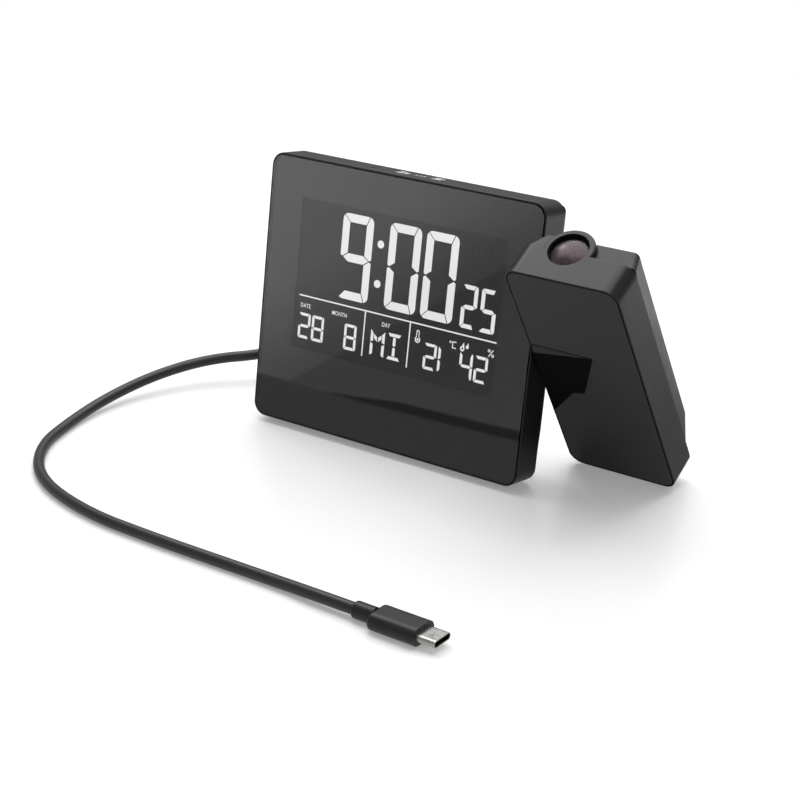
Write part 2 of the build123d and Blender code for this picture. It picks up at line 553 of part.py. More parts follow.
def hinge_shaft():
    """Hollow steel shaft: its head locks in the arm, its far end turns in the case's boss."""
    shaft = rod_x(SHAFT_END, HEAD_X, HINGE_Y, HINGE_Z, SHAFT_R)
    shaft -= rod_x(CLIP_X - CLIP_T, CLIP_X, HINGE_Y, HINGE_Z, SHAFT_R + 1) \
        - rod_x(CLIP_X - CLIP_T, CLIP_X, HINGE_Y, HINGE_Z, SHAFT_R - 0.7)
    head = rod_x(HEAD_X, HEAD_X + HEAD_T, HINGE_Y, HINGE_Z, HEAD_R)
    head -= block(HEAD_X - 1, HEAD_X + HEAD_T + 1, HINGE_Y - 9, HINGE_Y + 9, HINGE_Z + 4.6, HINGE_Z + 9)
    return shaft + head - rod_x(SHAFT_END - 1, HEAD_X + HEAD_T + 1, HINGE_Y, HINGE_Z, SHAFT_BORE_R)


def hinge_clip():
    """Snap ring in the shaft's groove."""
    ring = rod_x(CLIP_X - CLIP_T, CLIP_X, HINGE_Y, HINGE_Z, CLIP_R)
    ring -= rod_x(CLIP_X - CLIP_T - 1, CLIP_X + 1, HINGE_Y, HINGE_Z, SHAFT_R - 0.68)
    return ring - block(CLIP_X - 2, CLIP_X + 1, HINGE_Y - 1.6, HINGE_Y + 1.6, HINGE_Z - 8, HINGE_Z)


def hinge_washer():
    ring = rod_x(CLIP_X, WASHER_X, HINGE_Y, HINGE_Z, CLIP_R)
    return ring - rod_x(CLIP_X - 1, WASHER_X + 1, HINGE_Y, HINGE_Z, SHAFT_R + 0.05)


HINGED = CASE * Pos(0, HINGE_Y, HINGE_Z) * Rot(FOLD, 0, 0) * Pos(0, -HINGE_Y, -HINGE_Z)
keep("hinge_shaft", hinge_shaft(), HINGED)
keep("hinge_clip", hinge_clip(), HINGED)
keep("hinge_washer", hinge_washer(), HINGED)

# the projector's wires pass through the hollow shaft
WIRE_R = 1.6
PLUG_X0, PLUG_X1 = 84.0, 90.0
WIRE_MID = CASE_W + ARM_GAP / 2
ARM_PLUG_X = 13.0
keep("case_wires", rod_x(PLUG_X1, WIRE_MID - SLIP, HINGE_Y, HINGE_Z, WIRE_R), CASE)
keep("case_wire_plug", block(PLUG_X0, PLUG_X1, PCB_BACK, HINGE_Y + 2.6, HINGE_Z - 2.9, HINGE_Z + 3.4), CASE)
keep("arm_wires", rod_x(WIRE_MID + SLIP, ARM_X + ARM_PLUG_X, HINGE_Y, HINGE_Z, WIRE_R), HINGED)


# ---- projector arm: shells, panel, screws and foot -------------------------------------------------
ARM_SCREWS = [(7.0, 7.0), (ARM_W - 7.0, 7.0), (ARM_W - 8.0, CASE_H - 9.0)]
ARM_BOARD_SCREWS = [(8.0, 16.0), (ARM_W - 8.0, 16.0)]


def arm_case():
    tray = case_tray(ARM_W)
    tray -= rod_x(-1, ARM_W / 2, HINGE_Y, HINGE_Z, BOSS_R + COVER_CLEAR)
    collar = rod_z(LENS_X, LENS_Y, CASE_H - COLLAR_L, CASE_H, COLLAR_R)
    collar = fillet(collar.faces().sort_by(Axis.Z)[-1].edges(), 0.7)
    tray += collar
    seat = CASE_H - LENS_FLANGE_DROP
    tray -= rod_z(LENS_X, LENS_Y, CASE_H - COLLAR_L - 1, seat, BARREL_R + 0.1)
    tray -= rod_z(LENS_X, LENS_Y, seat - 1, CASE_H + 1, LENS_OPEN_R)
    for x, z in ARM_SCREWS:
        tray += post(x, z, POST_R, FLANGE_Y, 6)
    for x, z in ARM_BOARD_SCREWS:
        tray += post(x, z, SMALL_POST_R, ARM_PCB_Y, 2)
    return tray


def arm_cover():
    cover = rear_cover(ARM_W, ARM_SIDE_REAR, ARM_LOW_BASE, ARM_LOW_REAR)
    cover += rod_x(0, BOSS_L, HINGE_Y, HINGE_Z, BOSS_R)
    cover -= rod_x(-1, BOSS_L + 1, HINGE_Y, HINGE_Z, SHAFT_R + 0.02)
    x, z = ARM_SCREWS[2]
    envelope = raised(ARM_W, ARM_SIDE_REAR, ARM_LOW_BASE, ARM_LOW_REAR, 0.2, CASE_T, DEPTH - 0.2)
    cover += screw_well(x, z) & (envelope + rod_y(x, FLANGE_Y, CASE_T, z, POST_R + 2))
    low = CASE_H - COLLAR_L - COVER_CLEAR
    cover -= rod_z(LENS_X, LENS_Y, low, CASE_H + 1, COLLAR_R + COVER_CLEAR)
    for x, z in ARM_SCREWS:
        cover -= rod_y(x, 0, DEPTH + 1, z, SCREW_R + 0.2)
    for x, z in ARM_SCREWS[:2]:
        cover -= rod_y(x, CASE_T - 0.9, DEPTH, z, SCREW_HEAD_R + 0.3)
    x, z = ARM_SCREWS[2]
    return cover - rod_y(x, CASE_T, DEPTH + 1, z, SCREW_HEAD_R + 0.4)


def arm_foot():
    """Rubber strip along the lower front edge, cut level with the table."""
    drop = ARM_STANDOFF / cos(radians(ARM_TILT))
    rise = tan(radians(ARM_TILT))
    y1 = ARM_FOOT_Y0 + ARM_FOOT_D
    corners = [(ARM_FOOT_Y0, 0), (y1, 0), (y1, -drop - rise * y1), (ARM_FOOT_Y0, -drop - rise * ARM_FOOT_Y0)]
    side = make_face(Polyline([(ARM_FOOT_EDGE, y, z) for y, z in corners], close=True))
    return extrude(side, ARM_W - 2 * ARM_FOOT_EDGE, dir=(1, 0, 0))


ARM_PCB_Y = INNER_Y + 1.4
ARM_PCB_BACK = ARM_PCB_Y + PCB_T
keep("arm_panel", front_panel(ARM_W, PANEL_SET, PANEL_BACK), ARM)
keep("arm_case", arm_case(), ARM)
keep("arm_cover", arm_cover(), ARM)
keep("arm_foot", arm_foot(), ARM)
arm_screws = [screw(x, CASE_T - 0.9, z, 6) for x, z in ARM_SCREWS[:2]]
arm_screws += [screw(x, CASE_T, z, 7) for x, z in ARM_SCREWS[2:]]
keep("arm_screws", Compound(arm_screws), ARM)

# ---- projector arm: lamp and optics ----------------------------------------------------------------
LENS_Z = CASE_H - LENS_FLANGE_DROP - LENS_FLANGE_T
BARREL_STEP = CASE_H - COLLAR_L
BARREL_END = 74.0
LAMP_Z0 = 60.0


def projection_lens():
    """Plano-convex lens whose dome fills the opening."""
    disc = rod_z(LENS_X, LENS_Y, LENS_Z, LENS_Z + LENS_FLANGE_T, LENS_R)
    ball_r = (DOME_R ** 2 + DOME_H ** 2) / (2 * DOME_H)
    top = LENS_Z + LENS_FLANGE_T
    ball = Pos(LENS_X, LENS_Y, top + DOME_H - ball_r) * Sphere(ball_r)
    return disc + (ball & rod_z(LENS_X, LENS_Y, top - 0.01, top + DOME_H + 1, DOME_R))


def lens_barrel():
    wide = rod_z(LENS_X, LENS_Y, BARREL_STEP, LENS_Z, BARREL_R)
    wide -= rod_z(LENS_X, LENS_Y, BARREL_STEP + 1.2, LENS_Z + 1, BARREL_BORE)
    slim = rod_z(LENS_X, LENS_Y, BARREL_END, BARREL_STEP, BARREL_LOW_R)
    return wide + slim - rod_z(LENS_X, LENS_Y, BARREL_END - 1, LENS_Z, BARREL_LOW_BORE)


def lamp_housing():
    """Square chimney that holds lamp, condenser and picture glass under the barrel."""
    half = 6.4
    chimney = block(LENS_X - half, LENS_X + half, LENS_Y - half, LENS_Y + half - 0.9, LAMP_Z0, BARREL_END)
    chimney -= rod_z(LENS_X, LENS_Y, LAMP_Z0 + 1.2, BARREL_END - 4.0, 4.7)
    chimney -= rod_z(LENS_X, LENS_Y, LAMP_Z0 - 1, BARREL_END + 1, 2.6)
    slot_z = BARREL_END - 4.0
    return chimney - block(LENS_X - 5.2, LENS_X + 5.2, LENS_Y - 4.4, LENS_Y + 4.4, slot_z, BARREL_END + 1)


def lamp():
    """Red light-emitting diode, 5 mm, with its two legs."""
    z = LAMP_Z0 - 1.0
    bulb = rod_z(LENS_X, LENS_Y, z, z + 5.4, 2.5) + Pos(LENS_X, LENS_Y, z + 5.4) * Sphere(2.5)
    legs = [rod_z(LENS_X + side, LENS_Y, z - 3.2, z, 0.3) for side in (-1.27, 1.27)]
    return bulb + rod_z(LENS_X, LENS_Y, z - 1.0, z, 2.9) + legs[0] + legs[1]


SLIDE_Z = BARREL_END - 2.6
keep("projection_lens", projection_lens(), ARM)
keep("lens_barrel", lens_barrel(), ARM)
keep("lamp_housing", lamp_housing(), ARM)
keep("projection_lamp", lamp(), ARM)
keep("slide_display", block(LENS_X - 5.1, LENS_X + 5.1, LENS_Y - 4.3, LENS_Y + 4.3, SLIDE_Z, SLIDE_Z + 1.8), ARM)
condenser = rod_z(LENS_X, LENS_Y, BARREL_END - 6.4, BARREL_END - 4.4, 4.6)
keep("condenser_lens", fillet(condenser.faces().sort_by(Axis.Z)[-1].edges(), 0.9), ARM)


def arm_board():
    board = block(4.0, ARM_W - 4.0, ARM_PCB_Y, ARM_PCB_BACK, 12.0, 62.0)
    for x, z in ARM_BOARD_SCREWS:
        board -= rod_y(x, 0, DEPTH, z, SCREW_R + 0.2)
    return board


def arm_board_parts():
    bridge = block(LENS_X - 3.0, LENS_X + 3.0, ARM_PCB_BACK, LENS_Y + 1.5, LAMP_Z0 - 6.2, LAMP_Z0 - 4.2)
    chip = block(22, 31, ARM_PCB_BACK, ARM_PCB_BACK + 1.5, 24, 33)
    return [bridge, chip, rod_y(12.0, ARM_PCB_BACK, ARM_PCB_BACK + 6.0, 30.0, 2.5)]


keep("arm_board", arm_board(), ARM)
keep("arm_board_parts", Compound(arm_board_parts()), ARM)
keep("arm_board_screws", Compound([screw(x, ARM_PCB_BACK, z, 2.0) for x, z in ARM_BOARD_SCREWS]), ARM)
keep("arm_wire_plug", block(ARM_PLUG_X, ARM_PLUG_X + 6.0, ARM_PCB_BACK, HINGE_Y + 2.6,
                            HINGE_Z - 5.0, HINGE_Z + 0.6), ARM)

# ---- charging cable -----------------------------------------------------------------------------------
PLUG_GAP = 0.1
BODY_Y = DEPTH + PLUG_GAP
RELIEF_Y = BODY_Y + USB_A_BODY[1]
CABLE_Y = RELIEF_Y + USB_A_RELIEF_L


def usb_a_shell():
    """Tin tube of the plug, open at its end, half filled by the plug's tongue."""
    w, length, h = USB_A_SHELL
    y0 = DEPTH - length
    tube = block(USB_X - w / 2, USB_X + w / 2, y0, BODY_Y, SOCKET_Z - h / 2, SOCKET_Z + h / 2)
    inner = block(USB_X - w / 2 + 0.3, USB_X + w / 2 - 0.3, y0 - 1, BODY_Y, SOCKET_Z - h / 2 + 0.3,
                  SOCKET_Z + h / 2 - 0.3)
    return tube - inner


def usb_a_tongue():
    w, length, h = USB_A_SHELL
    return block(USB_X - w / 2 + 0.35, USB_X + w / 2 - 0.35, DEPTH - length + 0.3, BODY_Y,
                 SOCKET_Z - h / 2 + 0.35, SOCKET_Z - 0.1)


def usb_a_grip():
    w, length, h = USB_A_BODY
    grip = plate(USB_X - w / 2, USB_X + w / 2, SOCKET_Z - h / 2, SOCKET_Z + h / 2, 2.2, BODY_Y, RELIEF_Y)
    grip = fillet(rear_edges(grip), 1.4)
    return fillet(front_edges(grip), 0.5)


def usb_a_relief():
    """Ribbed sleeve where the cable leaves the plug."""
    sleeve = rod_y(USB_X, RELIEF_Y, CABLE_Y, SOCKET_Z, USB_A_RELIEF_R)
    for i in range(4):
        y = RELIEF_Y + 1.6 + 2.1 * i
        groove = rod_y(USB_X, y, y + 0.9, SOCKET_Z, USB_A_RELIEF_R + 1)
        sleeve -= groove - rod_y(USB_X, y, y + 0.9, SOCKET_Z, CABLE_D / 2 + 0.25)
    return sleeve


keep("usb_a_shell", usb_a_shell(), CASE)
keep("usb_a_tongue", usb_a_tongue(), CASE)
keep("usb_a_grip", usb_a_grip(), CASE)
keep("usb_a_relief", usb_a_relief(), CASE)

# The cable's route on the table, in the frame of the standing clock before its last shift:
# out of the plug, round behind the case, past its left edge and forward in one wide loop.
CABLE_START = (CASE * Pos(USB_X, CABLE_Y, SOCKET_Z)).position
CABLE_LEAD = (CASE * Pos(USB_X, CABLE_Y + 18.0, SOCKET_Z)).position
CABLE_ROUTE = [
    (21.0, 92.5, 18.4), (0.5, 94.0, 16.4), (-13.1, 78.2, 14.4), (-12.6, 54.7, 12.6), (-19.7, 32.2, 10.8),
    (-36.6, 18.9, 9.4), (-46.7, -0.9, 7.0), (-51.5, -23.5, 3.6), (-49.0, -45.5, 2.1), (-41.9, -67.8, 2.0),
    (-23.1, -86.8, 2.0), (8.3, -96.5, 2.0), (39.3, -97.5, 2.0), (68.0, -97.3, 2.0), (91.8, -97.2, 2.1),
    (108.6, -98.4, 3.0),
]
CABLE_END = (121.4, -98.5, 3.0)


def route_points():
    """The route, with every height given for the cable's middle."""
    points = [CABLE_START, CABLE_LEAD] + [Vector(*p) for p in CABLE_ROUTE]
    return points + [Vector(*CABLE_END)]


def bend_radii(points):
    """Each corner's arc is as large as its two runs allow."""
    radii = []
    for a, b, c in zip(points, points[1:], points[2:]):
        turn = radians((b - a).get_angle(c - b))
        radii.append(0.45 * min((b - a).length, (c - b).length) / tan(turn / 2))
    return radii


def usb_cable():
    points = route_points()
    radii = bend_radii(points)
    path = FilletPolyline(points, radius=radii)
    section = Plane(origin=points[0], z_dir=points[1] - points[0]) * Circle(CABLE_D / 2)
    tube = sweep(section, path=path)
    print("cable radii", [round(r, 1) for r in radii])
    print("cable runs", [round((b - a).length, 1) for a, b in zip(points, points[1:])])
    print("cable length", round(path.length, 1), "volume over section x length",
          round(tube.volume / (path.length * pi * (CABLE_D / 2) ** 2), 5))
    return tube


keep("usb_cable", usb_cable(), Pos(0, 0, 0))

PLUG_YAW = degrees(atan2(CABLE_END[1] - CABLE_ROUTE[-1][1], CABLE_END[0] - CABLE_ROUTE[-1][0]))
FAR = Pos(*CABLE_END) * Rot(0, 0, PLUG_YAW)


def capsule_x(x0, x1, width, height, radius):
    """A bar along x with rounded long edges."""
    flat = Plane.YZ * RectangleRounded(width, height, radius)
    return Pos(x0, 0, 0) * extrude(flat, x1 - x0)


relief_end = USB_C_RELIEF_L
relief = rod_x(0, relief_end, 0, 0, USB_C_RELIEF_R)
relief = fillet(relief.faces().sort_by(Axis.X)[0].edges(), 0.8)
grip_length, grip_width, grip_height = USB_C_BODY
grip = capsule_x(relief_end, relief_end + grip_length, grip_width, grip_height, grip_height / 2 - 0.05)
grip = fillet(grip.faces().sort_by(Axis.X)[0].edges(), 1.3)
shell_x = relief_end + grip_length
shell_length, shell_width, shell_height = USB_C_SHELL
tube = capsule_x(shell_x, shell_x + shell_length, shell_width, shell_height, shell_height / 2 - 0.02)
bore = capsule_x(shell_x + 0.6, shell_x + shell_length + 1, shell_width - 0.6, shell_height - 0.6, 0.85)
keep("usb_c_relief", relief, FAR)
keep("usb_c_grip", grip, FAR)
keep("usb_c_shell", tube - bore, FAR)

# ---- put the origin on the table under the middle of the clock, and write the pieces -------------------
CORD_NODES = [name for name in pieces if name.startswith("usb_a_") or name.startswith("usb_c_")] + ["usb_cable"]
clock = Compound([shape for name, shape in pieces.items() if name not in CORD_NODES])
box = clock.bounding_box()
SHIFT = Pos(-(box.min.X + box.max.X) / 2, -(box.min.Y + box.max.Y) / 2, -box.min.Z)

os.makedirs("parts", exist_ok=True)
for name, shape in pieces.items():
    export_step(SHIFT * shape, f"parts/{name}.step")
print("clock box", box.min, box.max, "arm tilt", round(ARM_TILT, 3), "fold", round(FOLD, 3))
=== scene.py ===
import json
from math import atan2, cos, pi, radians, sin

import bmesh
import bpy
from mathutils import Matrix, Vector


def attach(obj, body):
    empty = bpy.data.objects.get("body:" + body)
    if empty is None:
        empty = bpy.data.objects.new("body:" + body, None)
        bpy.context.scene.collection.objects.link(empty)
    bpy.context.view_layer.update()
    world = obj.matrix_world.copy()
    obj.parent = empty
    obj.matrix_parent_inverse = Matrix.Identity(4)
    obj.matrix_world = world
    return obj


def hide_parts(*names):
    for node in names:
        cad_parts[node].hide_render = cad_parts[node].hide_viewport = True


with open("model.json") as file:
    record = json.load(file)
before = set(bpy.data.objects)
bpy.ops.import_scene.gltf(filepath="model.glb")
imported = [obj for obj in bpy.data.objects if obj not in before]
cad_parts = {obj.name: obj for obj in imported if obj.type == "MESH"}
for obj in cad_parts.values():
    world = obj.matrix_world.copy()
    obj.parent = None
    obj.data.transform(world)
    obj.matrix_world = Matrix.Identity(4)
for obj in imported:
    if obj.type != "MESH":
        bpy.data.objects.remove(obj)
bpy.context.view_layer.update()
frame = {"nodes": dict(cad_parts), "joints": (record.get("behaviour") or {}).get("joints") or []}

# ---- The two slabs ----
# A thin display case leans back, and a projector arm of the same height turns at its right side.
# Their own details are drawn upright in millimetres, x to the right, y from the front face back
# and z up, and these two matrices stand them on the table as the hinge and the keys say.
CASE_W, CASE_H = 114.5, 97.0
ARM_W, ARM_GAP = 41.4, 0.6
HINGE_Y, HINGE_Z = 13.2, 52.25

joints = {joint["name"]: joint for joint in frame["joints"]}
press_axis = joints["time_press"]["axis"]
hinge_at = Vector(joints["arm_hinge"]["pos_m"])
lean = atan2(press_axis[2], -press_axis[1])
fold = radians(90 - joints["arm_hinge"]["range_deg"][1])

MILLIMETRES = Matrix.Scale(0.001, 4)
CASE = (Matrix.Translation(hinge_at) @ Matrix.Rotation(-lean, 4, "X") @ MILLIMETRES
        @ Matrix.Translation((-CASE_W - ARM_GAP / 2, -HINGE_Y, -HINGE_Z)))
ARM = (Matrix.Translation(hinge_at) @ Matrix.Rotation(fold - lean, 4, "X") @ MILLIMETRES
       @ Matrix.Translation((ARM_GAP / 2, -HINGE_Y, -HINGE_Z)))


# ---- Case shells ----
# Front shell and rear cover of both slabs are injection-moulded ABS, black in the mass. The mould
# of the front shells was fine-blasted, which leaves a satin skin, and the mould of the rear covers
# was spark-eroded, which leaves a coarser, duller grain.
def linear(hex_colour):
    """A colour written as sRGB hex, as Blender's linear red, green, blue and alpha."""
    channels = [int(hex_colour[i:i + 2], 16) / 255 for i in (1, 3, 5)]
    return [c / 12.92 if c <= 0.04045 else ((c + 0.055) / 1.055) ** 2.4 for c in channels] + [1.0]


def add_node(tree, kind, values=(), links=(), **settings):
    """A node of one kind with its settings, its sockets' values and what feeds them: a socket, or
    a node, which stands for its first output in use."""
    node = tree.nodes.new(kind)
    for name, value in settings.items():
        setattr(node, name, value)
    for socket, value in dict(values).items():
        node.inputs[socket].default_value = value
    for socket, source in dict(links).items():
        if isinstance(source, bpy.types.Node):
            source = next(output for output in source.outputs if output.enabled)
        tree.links.new(source, node.inputs[socket])
    return node


def start_material(name):
    """An empty node material with its tree, and the object's own coordinates in metres."""
    material = bpy.data.materials.new(name)
    material.use_nodes = True
    tree = material.node_tree
    tree.nodes.clear()
    return material, tree, add_node(tree, "ShaderNodeTexCoord").outputs["Object"]


def finish_material(tree, values, links=()):
    """The surface shader of a material, joined to its output."""
    surface = add_node(tree, "ShaderNodeBsdfPrincipled", values, links)
    add_node(tree, "ShaderNodeOutputMaterial", links={"Surface": surface})


# Most of a noise texture's values lie in this span.
NOISE_SPAN = {"From Min": 0.3, "From Max": 0.7}


def moulded(name, dark, pale, grain, depth, smooth, rough, ior=1.53):
    """A moulded plastic: colour and gloss drift over centimetres, and the mould's grain, given by
    its spacing and depth in millimetres, breaks up the highlights. A print or film has no depth."""
    material, tree, place = start_material(name)
    drift = add_node(tree, "ShaderNodeTexNoise", {"Scale": 60.0, "Detail": 3.0}, {"Vector": place})
    colour = add_node(tree, "ShaderNodeMix", {"A": linear(dark), "B": linear(pale)}, {"Factor": drift},
                      data_type="RGBA")
    gloss = add_node(tree, "ShaderNodeMapRange", {**NOISE_SPAN, "To Min": smooth, "To Max": rough},
                     {"Value": drift})
    surface = {"Base Color": colour, "Roughness": gloss}
    if depth:
        fine = add_node(tree, "ShaderNodeTexNoise", {"Scale": 1000 / grain, "Detail": 4.0, "Roughness": 0.6},
                        {"Vector": place})
        surface["Normal"] = add_node(tree, "ShaderNodeBump", {"Distance": depth / 1000}, {"Height": fine})
    finish_material(tree, {"IOR": ior}, surface)
    return material


def dress(material, *nodes):
    """Gives a material to the CAD nodes of these names."""
    for name in nodes:
        slots = frame["nodes"][name].data.materials
        slots.clear()
        slots.append(material)


# Satin black, with broad soft highlights along the rims and on the side walls.
satin_abs = moulded("fine_blasted_black_abs", "#100f10", "#141314", 0.30, 0.003, 0.34, 0.41, 1.47)
dress(satin_abs, "case_front", "arm_case")
# Duller, with a grain that shows where light grazes it.
grained_abs = moulded("spark_eroded_black_abs", "#0f0e0f", "#131213", 0.45, 0.010, 0.42, 0.52, 1.47)
dress(grained_abs, "rear_cover", "arm_cover")


# ---- Front panes ----
# A pane of cast acrylic, laser-cut and flame-polished, fills the front of each slab. The case's pane
# is clear, with a charcoal print behind it that leaves a window for the display. The arm's is black.
def rounded(x0, x1, z0, z1, radius, steps=8):
    """Corner points of a rounded rectangle, anticlockwise from its lower right corner."""
    points = []
    for number, (cx, cz) in enumerate(((x1, z0), (x1, z1), (x0, z1), (x0, z0))):
        middle_x = cx - radius if cx == x1 else cx + radius
        middle_z = cz - radius if cz == z1 else cz + radius
        for step in range(steps + 1):
            angle = (number - 1 + step / steps) * pi / 2
            points.append((middle_x + radius * cos(angle), middle_z + radius * sin(angle)))
    return points


def plates(name, outlines, front, back, place, bevel=0.0):
    """One mesh of flat plates. Each outline is a loop of x, z points, or an outer and an inner loop of
    as many points for a plate with a window. They reach from depth front to depth back."""
    shape = bmesh.new()
    for outline in outlines:
        loops = outline if isinstance(outline[0], list) else [outline]
        rings = [[[shape.verts.new((x, y, z)) for x, z in loop] for y in (front, back)] for loop in loops]
        for ring in rings:
            count = len(ring[0])
            for i in range(count):
                j = (i + 1) % count
                shape.faces.new((ring[0][i], ring[0][j], ring[1][j], ring[1][i]))
        for side in (0, 1):
            if len(rings) == 1:
                shape.faces.new(rings[0][side])
                continue
            outer, inner = rings[0][side], rings[1][side]
            for i in range(len(outer)):
                j = (i + 1) % len(outer)
                shape.faces.new((outer[i], outer[j], inner[j], inner[i]))
    bmesh.ops.recalc_face_normals(shape, faces=shape.faces)
    if bevel:
        rim = [edge for edge in shape.edges if edge.calc_face_angle(0) > radians(60)]
        bmesh.ops.bevel(shape, geom=rim, offset=bevel, segments=2, profile=0.5, affect="EDGES")
    mesh = bpy.data.meshes.new(name)
    shape.to_mesh(mesh)
    shape.free()
    mesh.transform(place)
    return add_piece(name, mesh, 20)


def new_object(name, data):
    """An object in the scene, at its origin."""
    made = bpy.data.objects.new(name, data)
    bpy.context.scene.collection.objects.link(made)
    return made


def add_piece(name, mesh, corner=35):
    """A new piece from a mesh that already lies in its place, with smooth curves, and sharp corners
    where it turns by more than so many degrees."""
    mesh.shade_smooth()
    mesh.set_sharp_from_angle(angle=radians(corner))
    return new_object(name, mesh)


def fit(piece, body, slot, material, *stands_for):
    """Says what a finished piece rides on, its finish, and which CAD nodes it stands for."""
    piece.data.materials.append(material)
    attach(piece, body)
    if stands_for:
        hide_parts(*stands_for)


# Only the highest values of the noise show as wiping marks.
WIPED_SPAN = {"From Min": 0.45, "From Max": 0.8}
PANE_WAVE = 0.0015


def polished(name, colour, transmission):
    """Acrylic: all but perfectly smooth, with long shallow waves that bend reflections a little and
    a trace of wiping marks."""
    material, tree, place = start_material(name)
    wave = add_node(tree, "ShaderNodeTexNoise", {"Scale": 28.0, "Detail": 1.0}, {"Vector": place})
    wiped = add_node(tree, "ShaderNodeTexNoise", {"Scale": 220.0, "Detail": 5.0, "Distortion": 1.5},
                     {"Vector": place})
    gloss = add_node(tree, "ShaderNodeMapRange", {**WIPED_SPAN, "To Min": 0.015, "To Max": 0.06},
                     {"Value": wiped})
    bump = add_node(tree, "ShaderNodeBump", {"Distance": PANE_WAVE / 1000}, {"Height": wave})
    finish_material(tree, {"Base Color": linear(colour), "Transmission Weight": transmission, "IOR": 1.49},
                    {"Roughness": gloss, "Normal": bump})
    return material


RIM, PANE_CLEAR, PANE_SHIFT = 0.35, 0.35, 0.2
PANE_FRONT, PANE_BACK, PANE_BEVEL = 0.15, 1.64, 0.08
PRINT_FRONT, PRINT_BACK = 1.65, 1.80
CORNER_R = 5.0
WINDOW, WINDOW_R = (14.05, 100.45, 28.2, 82.6), 0.4

# Clear and mirror-smooth: it lays the room's reflections over the print and the display.
clear_acrylic = polished("clear_cast_acrylic", "#ffffff", 1.0)
# The same gloss on deep black.
black_acrylic = polished("black_cast_acrylic", "#070707", 0.0)
# An even charcoal, a shade paler than the display in its window.
charcoal_print = moulded("screen_printed_charcoal", "#161516", "#191819", 0.20, 0, 0.13, 0.17, 1.33)


def pane_outline(width):
    """A pane's outline. It was glued in with its left and lower edges near the rim."""
    edge = RIM + PANE_CLEAR
    low, off = edge - PANE_SHIFT, edge + PANE_SHIFT
    return rounded(low, width - off, low, CASE_H - off, CORNER_R - edge)


case_pane = plates("case_front_pane", [pane_outline(CASE_W)], PANE_FRONT, PANE_BACK, CASE, PANE_BEVEL)
fit(case_pane, "root", "clear_acrylic", clear_acrylic, "front_panel")
print_outline = [pane_outline(CASE_W), rounded(*WINDOW, WINDOW_R)]
case_print = plates("case_pane_print", [print_outline], PRINT_FRONT, PRINT_BACK, CASE)
fit(case_print, "root", "mask_print", charcoal_print, "panel_mask")
arm_pane = plates("arm_front_pane", [pane_outline(ARM_W)], PANE_FRONT, PANE_BACK, ARM, PANE_BEVEL)
fit(arm_pane, "arm", "black_acrylic", black_acrylic, "arm_panel")

# ---- Display ----
# A negative liquid crystal display: two panes of glass between polarising films, almost black, with
# the segments that are switched on lit white from behind by a guide plate with lamps at its edge.
DISPLAY_Y = 2.9
SEGMENT_T = 0.02

# Near black, with hardly a reflection under the clear pane.
polariser = moulded("polarising_film", "#0b0b0b", "#0d0d0d", 0.5, 0, 0.13, 0.16, 1.12)
dress(polariser, "lcd_front_glass")


def lit(name, dark, pale, strength):
    """White light through an open segment, with the faint unevenness of the guide plate."""
    material, tree, place = start_material(name)
    spread = add_node(tree, "ShaderNodeTexNoise", {"Scale": 45.0, "Detail": 0.0}, {"Vector": place})
    glow = add_node(tree, "ShaderNodeMix", {"A": linear(dark), "B": linear(pale)}, {"Factor": spread},
                    data_type="RGBA")
    finish_material(tree, {"Base Color": linear("#101010"), "Roughness": 0.3, "Emission Strength": strength},
                    {"Emission Color": glow})
    return material


lit_segment = lit("lit_display_segment", "#e6e6e6", "#f4f4f4", 0.92)


def cut(outline, point, way):
    """What is left of a convex outline on that side of a line through a point to which way points."""
    kept = []
    for (ax, az), (bx, bz) in zip(outline, outline[1:] + outline[:1]):
        a = (ax - point[0]) * way[0] + (az - point[1]) * way[1]
        b = (bx - point[0]) * way[0] + (bz - point[1]) * way[1]
        if a >= 0:
            kept.append((ax, az))
        if (a > 0 > b) or (b > 0 > a):
            share = a / (a - b)
            kept.append((ax + share * (bx - ax), az + share * (bz - az)))
    return kept


SEGMENTS = {"0": "abcdef", "1": "ef", "2": "abdeg", "4": "bcfg", "5": "acdfg", "8": "abcdefg", "9": "abcdfg"}
# The middle's height, and the blunt tip of a slanted end as a share of the stroke. The mitres at the
# right corners are flatter than at the left ones.
MIDDLE, TIP = 0.49, 0.28
MITRE_LEFT, MITRE_RIGHT = 0.95, 0.40


